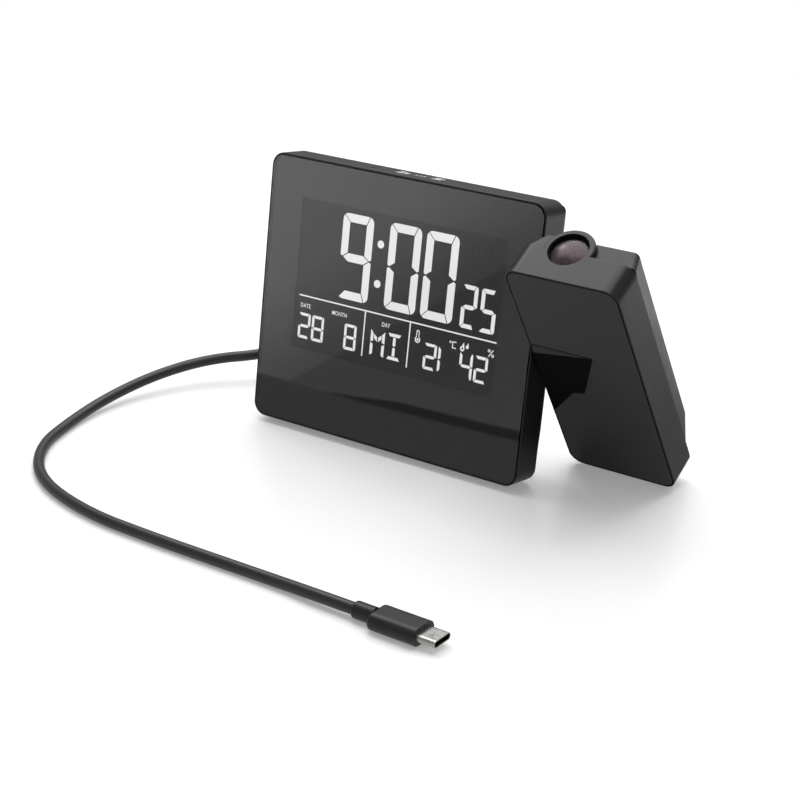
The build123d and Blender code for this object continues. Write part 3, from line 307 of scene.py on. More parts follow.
def digit(character, x, z, width, height, stroke, radius, gap):
    """The lit segments of one seven-segment digit whose lower left corner is at x, z."""
    whole = rounded(0, width, 0, height, radius, 5)
    middle = height * MIDDLE
    tip = stroke * TIP
    shapes = []
    for letter in SEGMENTS[character]:
        right, low = letter in "bc", letter in "cde"
        shape = whole
        if letter in "bcef":
            edge = width - stroke if right else stroke
            shape = cut(shape, (edge, 0), (1 if right else -1, 0))
            outer = width if right else 0
            inward, up = (-1 if right else 1), (-1 if low else 1)
            # the slanted end at the middle, then the mitre at the corner
            rise = (edge - outer) * inward - tip
            blunt = (outer + inward * tip, middle + up * gap / 2)
            shape = cut(shape, blunt, (-inward * stroke / 2, up * rise))
            shape = cut(shape, blunt, (inward * 0.5, up * 1.0))
            corner_z = stroke if low else height - stroke
            mitre = MITRE_RIGHT if right else MITRE_LEFT
            shape = cut(shape, (edge - inward * gap * 0.5, corner_z), (-inward * 1.0, -up * mitre))
        elif letter in "ad":
            up = -1 if low else 1
            corner_z = stroke if low else height - stroke
            shape = cut(shape, (0, corner_z), (0, up))
            shape = cut(shape, (stroke + gap * 0.5, corner_z), (1.0, up * MITRE_LEFT))
            shape = cut(shape, (width - stroke - gap * 0.5, corner_z), (-1.0, up * MITRE_RIGHT))
        else:
            shape = cut(shape, (0, middle - stroke / 2), (0, 1))
            shape = cut(shape, (0, middle + stroke / 2), (0, -1))
            for side, outer in ((1, 0), (-1, width)):
                point = (outer + side * (tip + gap), middle)
                for up in (1, -1):
                    shape = cut(shape, point, (side * stroke / 2, -up * (stroke - tip)))
        shapes.append([(x + px, z + pz) for px, pz in shape])
    return shapes


def digits(characters, lefts, z, sizes):
    """A row of digits, each from its own left edge on."""
    return [shape for character, x in zip(characters, lefts) for shape in digit(character, x, z, **sizes)]


def bar(x0, z0, x1, z1, wide):
    """A straight stroke from one point to another."""
    dx, dz = x1 - x0, z1 - z0
    length = (dx * dx + dz * dz) ** 0.5
    ox, oz = -dz / length * wide / 2, dx / length * wide / 2
    return [(x0 + ox, z0 + oz), (x0 - ox, z0 - oz), (x1 - ox, z1 - oz), (x1 + ox, z1 + oz)]


def disc(x, z, radius, steps=28):
    angles = [2 * pi * i / steps for i in range(steps)]
    return [(x + radius * cos(angle), z + radius * sin(angle)) for angle in angles]


HOUR = dict(width=13.3, height=30.5, stroke=3.0, radius=2.3, gap=0.36)
SECOND = dict(width=6.3, height=15.0, stroke=1.5, radius=1.1, gap=0.24)
SMALL = dict(width=5.35, height=9.3, stroke=1.03, radius=0.8, gap=0.24)
TIME_Z, DATE_Z, CLIMATE_Z = 49.65, 31.7, 32.1

hours = digits("900", (31.75, 52.1, 67.5), TIME_Z, HOUR) + [disc(48.6, 71.6, 1.4), disc(48.6, 57.6, 1.4)]
seconds = digits("25", (84.0, 91.7), TIME_Z, SECOND)
calendar = digits("288", (15.7, 21.75, 36.3), DATE_Z, SMALL)
climate = digits("2142", (70.7, 76.75, 85.6, 91.7), CLIMATE_Z, SMALL)


def letter_m(x, z, width, height, stroke):
    """The starburst M: two split posts and two short slanted strokes."""
    middle, top, centre = z + height / 2, z + height, x + width / 2
    shapes = []
    for side, outer in ((1, x), (-1, x + width)):
        inner = outer + side * stroke
        head, foot = inner + side * 0.3, centre - side * 0.25
        shapes += [[(outer, middle + 0.15), (inner, middle + 0.55), (inner, top - 1.3), (outer, top)],
                   [(outer, z), (inner, z + 0.5), (inner, middle - 0.55), (outer, middle - 0.15)],
                   [(head, top - 1.5), (head, top - 3.0), (foot, middle + 0.45), (foot, middle + 2.1)]]
    return shapes


def letter_i(x, z, width, height, stroke):
    """The starburst I: a bar above, a bar below and a split post between them."""
    middle, centre, half = z + height / 2, x + width / 2, stroke / 2
    bars, posts = [], []
    for end, up in ((z + height, 1), (z, -1)):
        inner = end - up * stroke
        bars.append([(x, end), (x + 0.7, inner), (x + width - 0.7, inner), (x + width, end)])
        posts.append([(centre - half, inner - up * 0.25), (centre - half, middle + up * 0.5),
                      (centre, middle + up * 0.15), (centre + half, middle + up * 0.5),
                      (centre + half, inner - up * 0.25)])
    return bars + posts


weekday = letter_m(47.9, 32.2, 6.1, 9.2, 1.15) + letter_i(55.4, 32.2, 5.4, 9.4, 1.15)

RULE = 0.5
rules = [bar(15.2, 47.25, 99.5, 47.25, RULE)] + [bar(x, 47.0, x, 30.9, RULE) for x in (44.75, 64.1)]


def ring(x, z, radius, wide):
    return [disc(x, z, radius), disc(x, z, radius - wide)]


def thermometer(x, z):
    """Outline of a thermometer, open in the middle, with a filled bulb."""
    bulb_z, tip_z = z + 1.15, z + 3.9
    bulb_arc = [radians(124 + 292 * i / 28) for i in range(29)]
    tip_arc = [pi * i / 12 for i in range(13)]
    loops = []
    for bulb, tip in ((1.15, 0.66), (0.72, 0.30)):
        loops.append([(x + bulb * cos(angle), bulb_z + bulb * sin(angle)) for angle in bulb_arc]
                     + [(x + tip * cos(angle), tip_z + tip * sin(angle)) for angle in tip_arc])
    return [loops, disc(x, bulb_z, 0.42)]


def drop(x, z, size):
    """A water drop whose tip leans to the right."""
    angles = [radians(110 + 280 * i / 24) for i in range(25)]
    points = [(x + 0.5 * size * cos(angle), z + 0.5 * size * sin(angle)) for angle in angles]
    return points + [(x + 0.28 * size, z + 1.3 * size)]


def hollow_drop(x, z, size):
    """The drop with its middle left open."""
    outer = drop(x, z, size)
    return [outer, [(x + 0.38 * (px - x), z + 0.38 * (pz - z)) for px, pz in outer]]


def percent(x, z):
    return [ring(x + 0.55, z + 2.15, 0.55, 0.3), ring(x + 2.1, z + 0.6, 0.55, 0.3),
            bar(x + 0.45, z + 0.1, x + 2.2, z + 2.6, 0.33)]


def degree_c(x, z):
    """Degree sign and a squarish C."""
    stroke = 0.36
    left, right, spine = x + 1.15, x + 2.8, x + 1.33
    return [ring(x + 0.42, z + 2.05, 0.42, 0.22), bar(left, z + 2.3, right, z + 2.3, stroke),
            bar(spine, z + 2.1, spine, z + 0.4, stroke), bar(left, z + 0.2, right, z + 0.2, stroke)]


signs = thermometer(67.65, 40.55) + degree_c(80.85, 41.75) + percent(96.4, 41.9)
signs += [hollow_drop(86.2, 42.45, 1.8), drop(88.15, 43.35, 1.2)]

for name, outlines in {"hour_digits": hours, "second_digits": seconds, "calendar_digits": calendar,
                       "climate_digits": climate, "weekday_letters": weekday, "display_rules": rules,
                       "display_signs": signs}.items():
    piece = plates(name, outlines, DISPLAY_Y - SEGMENT_T, DISPLAY_Y - 0.001, CASE)
    fit(piece, "root", "display_glass", lit_segment)

# A capital's height in the type's size, how far outlines are fattened for each unit of it, and spacing.
CAPITAL, BOLDER, SPACING = 0.73, 0.006, 1.06


def take_mesh(holder):
    """The plain mesh that a text or a modifier gives. The object that held it goes."""
    mesh = bpy.data.meshes.new_from_object(holder.evaluated_get(bpy.context.evaluated_depsgraph_get()))
    bpy.data.objects.remove(holder)
    return mesh


def words(name, texts, height, front, thick, place, slot, material, squeeze=0.8, align="LEFT"):
    """Small printed or lit words. Each is (word, left end or middle, foot) on the plane at depth front."""
    shape = bmesh.new()
    for text, x, z in texts:
        curve = bpy.data.curves.new(name, "FONT")
        curve.body = text
        curve.size = height / CAPITAL
        curve.align_x = align
        curve.extrude = thick / 2
        curve.offset = height * BOLDER
        curve.space_character = SPACING
        curve.resolution_u = 3
        mesh = take_mesh(new_object(name, curve))
        mesh.transform(Matrix.Translation((x, front - thick / 2, z)) @ Matrix.Rotation(pi / 2, 4, "X")
                       @ Matrix.Diagonal((squeeze, 1, 1, 1)))
        shape.from_mesh(mesh)
        bpy.data.curves.remove(curve)
        bpy.data.meshes.remove(mesh)
    bmesh.ops.remove_doubles(shape, verts=shape.verts, dist=0.002)
    mesh = bpy.data.meshes.new(name)
    shape.to_mesh(mesh)
    shape.free()
    mesh.transform(place)
    fit(add_piece(name, mesh), "root", slot, material)


words("display_words", [("DATE", 16.0, 43.0), ("MONTH", 30.2, 43.0), ("DAY", 52.1, 43.2)], 1.6,
      DISPLAY_Y - 0.001, SEGMENT_T, CASE, "display_glass", lit_segment)


# ---- Behind the display ----
# Stacked behind the front glass: the rear glass, a guide plate of clear acrylic with a white dot print
# that pulls light out, four lamps at its left edge, and a white tray whose floor is the reflector. A
# strip of silicone with conductive layers joins the glass to the board.
def printed_dots(name, ground, dots, pitch):
    """Clear plate with a regular print of small round dots."""
    material, tree, place = start_material(name)
    spots = add_node(tree, "ShaderNodeTexVoronoi", {"Scale": 1000 / pitch, "Randomness": 0.0},
                     {"Vector": place})
    inside = add_node(tree, "ShaderNodeMapRange",
                      {"From Min": 0.22, "From Max": 0.30, "To Min": 1.0, "To Max": 0.0}, {"Value": spots})
    colour = add_node(tree, "ShaderNodeMix", {"A": linear(ground), "B": linear(dots)}, {"Factor": inside},
                      data_type="RGBA")
    finish_material(tree, {"Roughness": 0.12, "IOR": 1.49}, {"Base Color": colour})
    return material


# At a scale of 1, a wave texture's bands are this far apart.
WAVE_PITCH = 2 * pi / 20


def layered(name, dark, pale, pitch):
    """Silicone strip: thin conductive layers alternate with clear ones along its length."""
    material, tree, place = start_material(name)
    layers = add_node(tree, "ShaderNodeTexWave", {"Scale": WAVE_PITCH * 1000 / pitch, "Distortion": 0.0},
                      {"Vector": place}, bands_direction="X")
    colour = add_node(tree, "ShaderNodeMix", {"A": linear(dark), "B": linear(pale)},
                      {"Factor": layers.outputs["Fac"]}, data_type="RGBA")
    finish_material(tree, {"Roughness": 0.55}, {"Base Color": colour})
    return material


# Grey glass, hard and glossy.
dress(moulded("grey_tinted_rear_glass", "#15171a", "#191b1e", 0.6, 0.0002, 0.05, 0.09), "lcd_rear_glass")
# Pale and clear, with white dots in rows.
dress(printed_dots("dot_printed_guide_plate", "#c9cdd0", "#f3f3f0", 0.9), "backlight_guide")
# Bright white with a soft sheen.
dress(moulded("white_reflector_abs", "#e2e2de", "#edede9", 0.30, 0.004, 0.30, 0.42), "backlight_tray")
# The yellow of the phosphor that turns blue light white.
dress(moulded("phosphor_coated_lamps", "#d8c64e", "#e8d964", 0.15, 0.006, 0.35, 0.50), "backlight_leds")
# Black and pink stripes, drawn some six times as coarse as the real ones so that they show.
dress(layered("layered_contact_silicone", "#1c1c1e", "#b9868a", 1.131), "contact_strip")


# ---- Boards ----
# Both boards are glass-fibre laminate with copper tracks under green solder mask, and bare tinned pads.
# Chips, capacitors, push switches and the buzzer on them are dark moulded resins.
def in_slab(tree, place, slab):
    """The same place in a slab's own upright millimetres."""
    back = slab.inverted()
    turned = {"Location": back.translation, "Rotation": back.to_euler(), "Scale": back.to_scale()}
    return add_node(tree, "ShaderNodeMapping", turned, {"Vector": place}).outputs["Vector"]


def laminate(name, slab):
    """Solder mask over tracks: the copper shows through paler, and the pads are left as bare tin."""
    material, tree, place = start_material(name)
    flat = in_slab(tree, place, slab)
    tracks = add_node(tree, "ShaderNodeTexVoronoi", {"Scale": 0.33, "Randomness": 0.75}, {"Vector": flat},
                      feature="DISTANCE_TO_EDGE")
    copper = add_node(tree, "ShaderNodeMapRange",
                      {"From Min": 0.03, "From Max": 0.06, "To Min": 1.0, "To Max": 0.0}, {"Value": tracks})
    holes = add_node(tree, "ShaderNodeTexVoronoi", {"Scale": 0.39, "Randomness": 0.35}, {"Vector": flat})
    pads = add_node(tree, "ShaderNodeMapRange",
                    {"From Min": 0.13, "From Max": 0.17, "To Min": 1.0, "To Max": 0.0}, {"Value": holes})
    mask = add_node(tree, "ShaderNodeMix", {"A": linear("#0d3b25"), "B": linear("#1d5a38")},
                    {"Factor": copper}, data_type="RGBA")
    colour = add_node(tree, "ShaderNodeMix", {"B": linear("#c8c6bd")}, {"Factor": pads, "A": mask},
                      data_type="RGBA")
    raised = add_node(tree, "ShaderNodeBump", {"Distance": 0.00003}, {"Height": copper})
    finish_material(tree, {"Roughness": 0.28}, {"Base Color": colour, "Metallic": pads, "Normal": raised})
    return material


dress(laminate("green_laminate_main_board", CASE), "main_board")
dress(laminate("green_laminate_arm_board", ARM), "arm_board")
# Dull dark grey, like stone dust in resin.
dress(moulded("black_moulding_epoxy", "#17181a", "#202123", 0.20, 0.006, 0.45, 0.60),
      "board_parts", "arm_board_parts", "tact_switches")
# A warmer, smoother black.
dress(moulded("black_phenolic_buzzer", "#121212", "#1b1a19", 0.35, 0.004, 0.30, 0.42), "buzzer")


# ---- Hinge and wires ----
# A hollow turned-steel shaft is locked in the arm's boss and turns stiffly in the case's. Four thin
# wires with soft PVC sleeves, twisted together, pass through it, with a white nylon plug on each end.
def metal(name, dark, pale, smooth, rough, marks, depth):
    """Bare or plated metal: fine tool marks and handling scratches in colour, gloss and bump."""
    material, tree, place = start_material(name)
    turned = add_node(tree, "ShaderNodeTexNoise", {"Scale": 1000 / marks, "Detail": 3.0, "Distortion": 0.4},
                      {"Vector": place})
    worn = add_node(tree, "ShaderNodeTexNoise", {"Scale": 300.0, "Detail": 4.0}, {"Vector": place})
    colour = add_node(tree, "ShaderNodeMix", {"A": linear(dark), "B": linear(pale)}, {"Factor": worn},
                      data_type="RGBA")
    gloss = add_node(tree, "ShaderNodeMapRange", {**NOISE_SPAN, "To Min": smooth, "To Max": rough},
                     {"Value": worn})
    bump = add_node(tree, "ShaderNodeBump", {"Distance": depth / 1000}, {"Height": turned})
    finish_material(tree, {"Metallic": 1.0}, {"Base Color": colour, "Roughness": gloss, "Normal": bump})
    return material


def coil(name, turns, start, end, length, wire, strands, material):
    """Round wire wound along +z from the origin, or several strands of it twisted together."""
    group = bpy.data.node_groups.new(name, "GeometryNodeTree")
    inputs = {"Turns": ("NodeSocketFloat", turns), "Start": ("NodeSocketFloat", start),
              "End": ("NodeSocketFloat", end), "Length": ("NodeSocketFloat", length),
              "Wire": ("NodeSocketFloat", wire), "Strands": ("NodeSocketInt", strands),
              "Material": ("NodeSocketMaterial", material)}
    labels = {}
    for label, (kind, _) in inputs.items():
        labels[label] = group.interface.new_socket(label, in_out="INPUT", socket_type=kind).identifier
    group.interface.new_socket("Geometry", in_out="OUTPUT", socket_type="NodeSocketGeometry")
    given = add_node(group, "NodeGroupInput").outputs
    path = add_node(group, "GeometryNodeCurveSpiral", {"Resolution": 24},
                    {"Rotations": given["Turns"], "Start Radius": given["Start"], "End Radius": given["End"],
                     "Height": given["Length"]})
    section = add_node(group, "GeometryNodeCurvePrimitiveCircle", {"Resolution": 10},
                       {"Radius": given["Wire"]})
    strand = add_node(group, "GeometryNodeCurveToMesh", {"Fill Caps": True},
                      {"Curve": path, "Profile Curve": section})
    # each strand is turned on about z by its share of a whole turn
    starts = add_node(group, "GeometryNodePoints", links={"Count": given["Strands"]})
    number = add_node(group, "GeometryNodeInputIndex")
    share = add_node(group, "ShaderNodeMath", {0: 2 * pi}, {1: given["Strands"]}, operation="DIVIDE")
    turn = add_node(group, "ShaderNodeMath", links={0: number, 1: share}, operation="MULTIPLY")
    about_z = add_node(group, "ShaderNodeCombineXYZ", links={"Z": turn})
    copies = add_node(group, "GeometryNodeInstanceOnPoints",
                      links={"Points": starts, "Instance": strand, "Rotation": about_z})
    whole = add_node(group, "GeometryNodeRealizeInstances", links={"Geometry": copies})
    finish = add_node(group, "GeometryNodeSetMaterial",
                      links={"Geometry": whole, "Material": given["Material"]})
    add_node(group, "NodeGroupOutput", links={"Geometry": finish})
    holder = new_object(name, bpy.data.meshes.new(name))
    winding = holder.modifiers.new("winding", "NODES")
    winding.node_group = group
    for label, (_, value) in inputs.items():
        winding[labels[label]] = value
    mesh = take_mesh(holder)
    mesh.materials.clear()
    return mesh


# A bright grey sheen, broken up by the marks of the turning tool.
turned_steel = metal("turned_steel", "#8d8c8a", "#aeadaa", 0.22, 0.36, 0.25, 0.002)
dress(turned_steel, "hinge_shaft", "hinge_washer")
# Dark, with the blue cast of tempered steel.
dress(metal("blued_spring_steel", "#3a3c44", "#55565c", 0.28, 0.42, 0.25, 0.002), "hinge_clip")
# Milky white with a soft gloss.
dress(moulded("white_nylon_plug", "#d9d6cc", "#e6e4dc", 0.35, 0.003, 0.38, 0.50),
      "case_wire_plug", "arm_wire_plug")

# Plain red and soft-looking. The twist has one turn in 12 mm.
wire_sleeve = moulded("soft_pvc_wire_sleeve", "#8f1d1a", "#a62a24", 0.30, 0.003, 0.38, 0.48)
TWIST, TWIST_R, WIRE_R, WIRES = 12, 0.78, 0.72, 4
for name, body, start, end in (("case_wires", "root", 90.0, 114.7), ("arm_wires", "arm", 114.9, 128.1)):
    long = end - start
    bundle = coil(name + "_twisted", long / TWIST, TWIST_R, TWIST_R, long, WIRE_R, WIRES, wire_sleeve)
    bundle.transform(CASE @ Matrix.Translation((start, HINGE_Y, HINGE_Z)) @ Matrix.Rotation(pi / 2, 4, "Y"))
    fit(add_piece(name + "_twisted", bundle, 50), body, "wire_sleeve", wire_sleeve, name)

# ---- Top key ----
# One long key in the top wall repeats the alarm and lights the display. It is moulded like the case,
# and its three signs are pad-printed in white.
TOP = CASE @ Matrix.Translation((0, 0, CASE_H)) @ Matrix.Rotation(-pi / 2, 4, "X")
INK = 0.02


def zed(x, z, wide, high, stroke):
    return [bar(x, z + stroke / 2, x + wide, z + stroke / 2, stroke),
            bar(x, z + high - stroke / 2, x + wide, z + high - stroke / 2, stroke),
            bar(x + stroke * 0.3, z + stroke * 0.6, x + wide - stroke * 0.3, z + high - stroke * 0.6, stroke)]


def lamp_sign(x, z, size):
    """A small round lamp with rays."""
    near, far = size * 0.34, size * 0.52
    shapes = [disc(x, z, size * 0.27)]
    for angle in [pi * i / 4 for i in range(8)]:
        shapes.append(bar(x + near * cos(angle), z + near * sin(angle), x + far * cos(angle),
                          z + far * sin(angle), size * 0.12))
    return shapes


dress(satin_abs, "snooze_key")
# A thin, matt, slightly warm white.
white_ink = moulded("white_pad_print", "#dcdcd9", "#e8e8e5", 0.15, 0.001, 0.45, 0.55)
key_marks = zed(49.9, 4.9, 2.9, 4.0, 0.95) + zed(53.2, 4.9, 1.8, 2.4, 0.7)
key_marks += [disc(x, 6.6, 0.55) for x in (57.8, 59.5, 61.2)] + lamp_sign(66.4, 7.3, 5.0)
key_print = plates("snooze_key_signs", key_marks, -INK, -0.001, TOP)
fit(key_print, "snooze_key_body", "mask_print", white_ink)

# ---- Rear buttons ----
# Six oval caps in the rear cover, of glossier ABS than the case, each with its word printed above it.
# Their names run the other way when seen from behind.
REAR = CASE @ Matrix.Translation((CASE_W, 21.0, 0)) @ Matrix.Rotation(pi, 4, "Z")
BUTTON_X0, BUTTON_PITCH = 20.0, 13.0
BUTTON_WORD_Z, SOCKET_WORD_Z = 82.0, 38.2
BUTTON_WORDS = {"time": "TIME", "alarm": "ALARM", "down": "-", "up": "+", "unit": "\u00b0C/\u00b0F",
                "projection": "BEAM"}

# Smoother than the shells, so each cap has a small bright highlight.
glossy_abs = moulded("glossy_black_abs", "#0f0f10", "#141415", 0.30, 0.0015, 0.16, 0.24, 1.5)
dress(glossy_abs, *[name + "_button" for name in BUTTON_WORDS])
# A quiet grey that doesn't shine.
grey_ink = moulded("grey_pad_print", "#9b9b99", "#a9a9a6", 0.15, 0.001, 0.45, 0.55)
rear_texts = [(word, CASE_W - BUTTON_X0 - BUTTON_PITCH * i, BUTTON_WORD_Z)
              for i, word in enumerate(BUTTON_WORDS.values())]
rear_texts += [("DC 5V", CASE_W - 16.0, SOCKET_WORD_Z), ("OUT 5V", CASE_W - 34.0, SOCKET_WORD_Z)]
words("rear_print", rear_texts, 1.7, -0.001, INK, REAR, "mask_print", grey_ink, squeeze=0.9, align="CENTER")

# ---- Sockets ----
# The charging socket is a folded, tin-plated steel shell round a white tongue. The low-voltage inlet is
# black resin with a nickel-plated centre pin.
INLET_X, INLET_Z = 16.0, 32.0
PIN_R_SQUARED = 1.3

# Silvery and softly bright, with faint handling marks.
tin_plate = metal("tin_plated_steel", "#a9a8a4", "#c4c3bf", 0.20, 0.34, 0.20, 0.0015)
dress(tin_plate, "usb_socket", "usb_a_shell", "usb_c_shell")
# Plain matt white.
dress(moulded("white_contact_carrier", "#dcdcd7", "#e8e8e4", 0.30, 0.003, 0.34, 0.46),
      "usb_tongue", "usb_a_tongue")


def pinned_inlet(name):
    """Black resin whose middle, round the pin, is nickel."""
    material, tree, place = start_material(name)
    apart = add_node(tree, "ShaderNodeSeparateXYZ", links={"Vector": in_slab(tree, place, CASE)})
    off_pin = []
    for axis, middle in (("X", INLET_X), ("Z", INLET_Z)):
        off = add_node(tree, "ShaderNodeMath", {1: middle}, {0: apart.outputs[axis]}, operation="SUBTRACT")
        off_pin.append(add_node(tree, "ShaderNodeMath", {1: 2.0}, {0: off}, operation="POWER"))
    square = add_node(tree, "ShaderNodeMath", links={0: off_pin[0], 1: off_pin[1]}, operation="ADD")
    pin = add_node(tree, "ShaderNodeMath", {1: PIN_R_SQUARED}, {0: square}, operation="LESS_THAN")
    grain = add_node(tree, "ShaderNodeTexNoise", {"Scale": 2500.0, "Detail": 2.0}, {"Vector": place})
    colour = add_node(tree, "ShaderNodeMix", {"A": linear("#131314"), "B": linear("#c9c6bf")},
                      {"Factor": pin}, data_type="RGBA")
    gloss = add_node(tree, "ShaderNodeMapRange", {"To Min": 0.24, "To Max": 0.42}, {"Value": grain})
    finish_material(tree, {}, {"Base Color": colour, "Metallic": pin, "Roughness": gloss})
    return material


dress(pinned_inlet("black_resin_and_nickel_pin"), "power_inlet")

# ---- Battery bay ----
# Two AAA cells, steel cans in a printed sleeve, lie over each other behind a door that pulls off and
# is moulded like the rear cover. Each rests on a flat tinned plate at its plus end and is pushed by a
# conical spring at its other end.
CELL_X0, CELL_X1 = 50.8, 95.3
CELL_Y, CELL_Z = 13.7, (24.0, 35.0)
BAY_X0, BAY_X1 = 47.8, 98.3
PLATE_GAP, PLATE_OFF, PLATE_W, PLATE_H = 0.05, 0.45, 8.0, 9.0


def sleeved_cells(name):
    """Printed sleeve, dark blue and glossy, with a pale band near the plus end, and bare steel at
    both ends."""
    material, tree, place = start_material(name)
    along = add_node(tree, "ShaderNodeSeparateXYZ", links={"Vector": in_slab(tree, place, CASE)}).outputs["X"]
    band = add_node(tree, "ShaderNodeMath", {1: CELL_X1 - 13.0}, {0: along}, operation="GREATER_THAN")
    low_end = add_node(tree, "ShaderNodeMath", {1: CELL_X0 + 0.7}, {0: along}, operation="LESS_THAN")
    high_end = add_node(tree, "ShaderNodeMath", {1: CELL_X1 - 1.7}, {0: along}, operation="GREATER_THAN")
    bare = add_node(tree, "ShaderNodeMath", links={0: low_end, 1: high_end}, operation="MAXIMUM")
    sleeve = add_node(tree, "ShaderNodeMix", {"A": linear("#20324f"), "B": linear("#c9ccd0")},
                      {"Factor": band}, data_type="RGBA")
    colour = add_node(tree, "ShaderNodeMix", {"B": linear("#b9b8b5")}, {"Factor": bare, "A": sleeve},
                      data_type="RGBA")
    film = add_node(tree, "ShaderNodeTexNoise", {"Scale": 900.0, "Detail": 3.0}, {"Vector": place})
    gloss = add_node(tree, "ShaderNodeMapRange", {"To Min": 0.16, "To Max": 0.34}, {"Value": film})
    finish_material(tree, {}, {"Base Color": colour, "Metallic": bare, "Roughness": gloss})
    return material


dress(sleeved_cells("printed_cell_sleeve"), "battery_cells")
dress(grained_abs, "battery_door")

contact_shape = bmesh.new()
for cell_z in CELL_Z:
    for x0, x1 in ((BAY_X0 + PLATE_GAP, BAY_X0 + PLATE_OFF), (BAY_X1 - PLATE_OFF, BAY_X1 - PLATE_GAP)):
        made = bmesh.ops.create_cube(contact_shape, size=1.0)["verts"]
        bmesh.ops.scale(contact_shape, vec=(x1 - x0, PLATE_W, PLATE_H), verts=made)
        bmesh.ops.translate(contact_shape, vec=((x0 + x1) / 2, CELL_Y, cell_z), verts=made)
        edges = list(dict.fromkeys(edge for vert in made for edge in vert.link_edges))
        bmesh.ops.bevel(contact_shape, geom=edges, offset=0.12, segments=2, profile=0.5, affect="EDGES")
    # the raised button that meets the cell's plus end
    made = bmesh.ops.create_cone(contact_shape, cap_ends=True, cap_tris=True, segments=32, radius1=2.2,
                                 radius2=1.7, depth=BAY_X1 - PLATE_OFF - CELL_X1)["verts"]
    bmesh.ops.rotate(contact_shape, matrix=Matrix.Rotation(-pi / 2, 3, "Y"), verts=made)
    bmesh.ops.translate(contact_shape, vec=((BAY_X1 - PLATE_OFF + CELL_X1) / 2, CELL_Y, cell_z), verts=made)
for cell_z in CELL_Z:
    spring = coil("conical_spring", 3.5, 3.6, 2.4, CELL_X0 - BAY_X0 - 1.05, 0.3, 1, tin_plate)
    spring.transform(Matrix.Translation((BAY_X0 + 0.75, CELL_Y, cell_z)) @ Matrix.Rotation(pi / 2, 4, "Y"))
    contact_shape.from_mesh(spring)
    bpy.data.meshes.remove(spring)
contact_mesh = bpy.data.meshes.new("battery_springs")
contact_shape.to_mesh(contact_mesh)
contact_shape.free()
contact_mesh.transform(CASE)
fit(add_piece("battery_springs", contact_mesh, 40), "root", "tinned_steel", tin_plate, "battery_contacts")

# ---- Screws and feet ----
# Pan-head screws with a cross recess, blackened. Self-adhesive rubber wedges keep the case off the
# table, and a rubber strip lies under the arm's front edge.

# Oily black that still glints like metal.
blackened = metal("blackened_screw_steel", "#1b1b1c", "#2c2c2d", 0.30, 0.46, 0.20, 0.002)
dress(blackened, "case_screws", "board_screws", "arm_screws", "arm_board_screws")
# The dullest black on the clock.
dress(moulded("black_foot_rubber", "#141414", "#1c1c1b", 0.40, 0.012, 0.62, 0.78), "case_feet", "arm_foot")


# ---- Projector ----
# Under the round collar sits a plano-convex lens with a purple coating, in a black barrel. Below it are
# the small picture glass, a condenser lens and a red lamp in a square black housing.
def coated_glass(name, body, tint, strength, rough):
    """Clear glass whose reflections a thin coating tints, with a few wiping marks."""
    material, tree, place = start_material(name)
    wiped = add_node(tree, "ShaderNodeTexNoise", {"Scale": 400.0, "Detail": 4.0, "Distortion": 1.0},
                     {"Vector": place})
    gloss = add_node(tree, "ShaderNodeMapRange", {**WIPED_SPAN, "To Min": rough, "To Max": rough + 0.06},
                     {"Value": wiped})
    bump = add_node(tree, "ShaderNodeBump", {"Distance": 0.0000003}, {"Height": wiped})
    finish_material(tree, {"Base Color": linear(body), "Transmission Weight": 1.0, "IOR": 1.49,
                           "Specular Tint": linear(tint), "Specular IOR Level": strength},
                    {"Roughness": gloss, "Normal": bump})
    return material


# Purplish and smoky, with a soft pink highlight on the dome.
dress(coated_glass("purple_coated_lens", "#75636a", "#ffe8ee", 0.20, 0.24), "projection_lens")
# Clear, with sharp reflections.
dress(coated_glass("clear_condenser_glass", "#fbfdfc", "#ffffff", 0.5, 0.02), "condenser_lens")
# Swallows stray light, so the lens has a black ring round it.
dress(moulded("matt_black_barrel", "#0a090a", "#0e0d0e", 0.35, 0.004, 0.55, 0.68),
      "lens_barrel", "lamp_housing")
# Deep glossy red.
dress(moulded("red_clear_epoxy", "#7a0f10", "#8e1614", 0.40, 0.001, 0.08, 0.14), "projection_lamp")
# Dark, blue-grey and hard.
dress(moulded("picture_glass", "#1a1e22", "#20252a", 0.40, 0.0005, 0.08, 0.14), "slide_display")

# ---- Charging cable ----
# A round cable of 4 mm with a matt elastomer jacket. It leaves the rectangular plug in the rear of
# the case, goes round the case's left side and lies on the table in one wide loop to its flat plug.
CABLE_D = 0.004
CABLE_ROUTE = [
    (-0.04425, 0.03838, 0.02589), (-0.04425, 0.05614, 0.02300), (-0.05725, 0.07530, 0.01840),
    (-0.07775, 0.07680, 0.01640), (-0.09135, 0.06100, 0.01440), (-0.09085, 0.03750, 0.01260),
    (-0.09795, 0.01500, 0.01080), (-0.11485, 0.00170, 0.00940), (-0.12495, -0.01810, 0.00700),
    (-0.12975, -0.04070, 0.00360), (-0.12725, -0.06270, 0.00210), (-0.12015, -0.08500, 0.00200),
    (-0.10135, -0.10400, 0.00200), (-0.06995, -0.11370, 0.00200), (-0.03895, -0.11470, 0.00200),
    (-0.01025, -0.11450, 0.00200), (0.01355, -0.11440, 0.00210), (0.03035, -0.11560, 0.00300),
    (0.04315, -0.11570, 0.00300),
]
cable_line = bpy.data.curves.new("charging_cable", "CURVE")
cable_line.dimensions = "3D"
cable_line.resolution_u = 16
cable_line.bevel_depth = CABLE_D / 2
cable_line.bevel_resolution = 6
cable_line.use_fill_caps = True
spline = cable_line.splines.new("NURBS")
spline.points.add(len(CABLE_ROUTE) - 1)
for point, at in zip(spline.points, CABLE_ROUTE):
    point.co = (*at, 1.0)
spline.order_u = 3
spline.use_endpoint_u = True
charging_cable = new_object("charging_cable", cable_line)
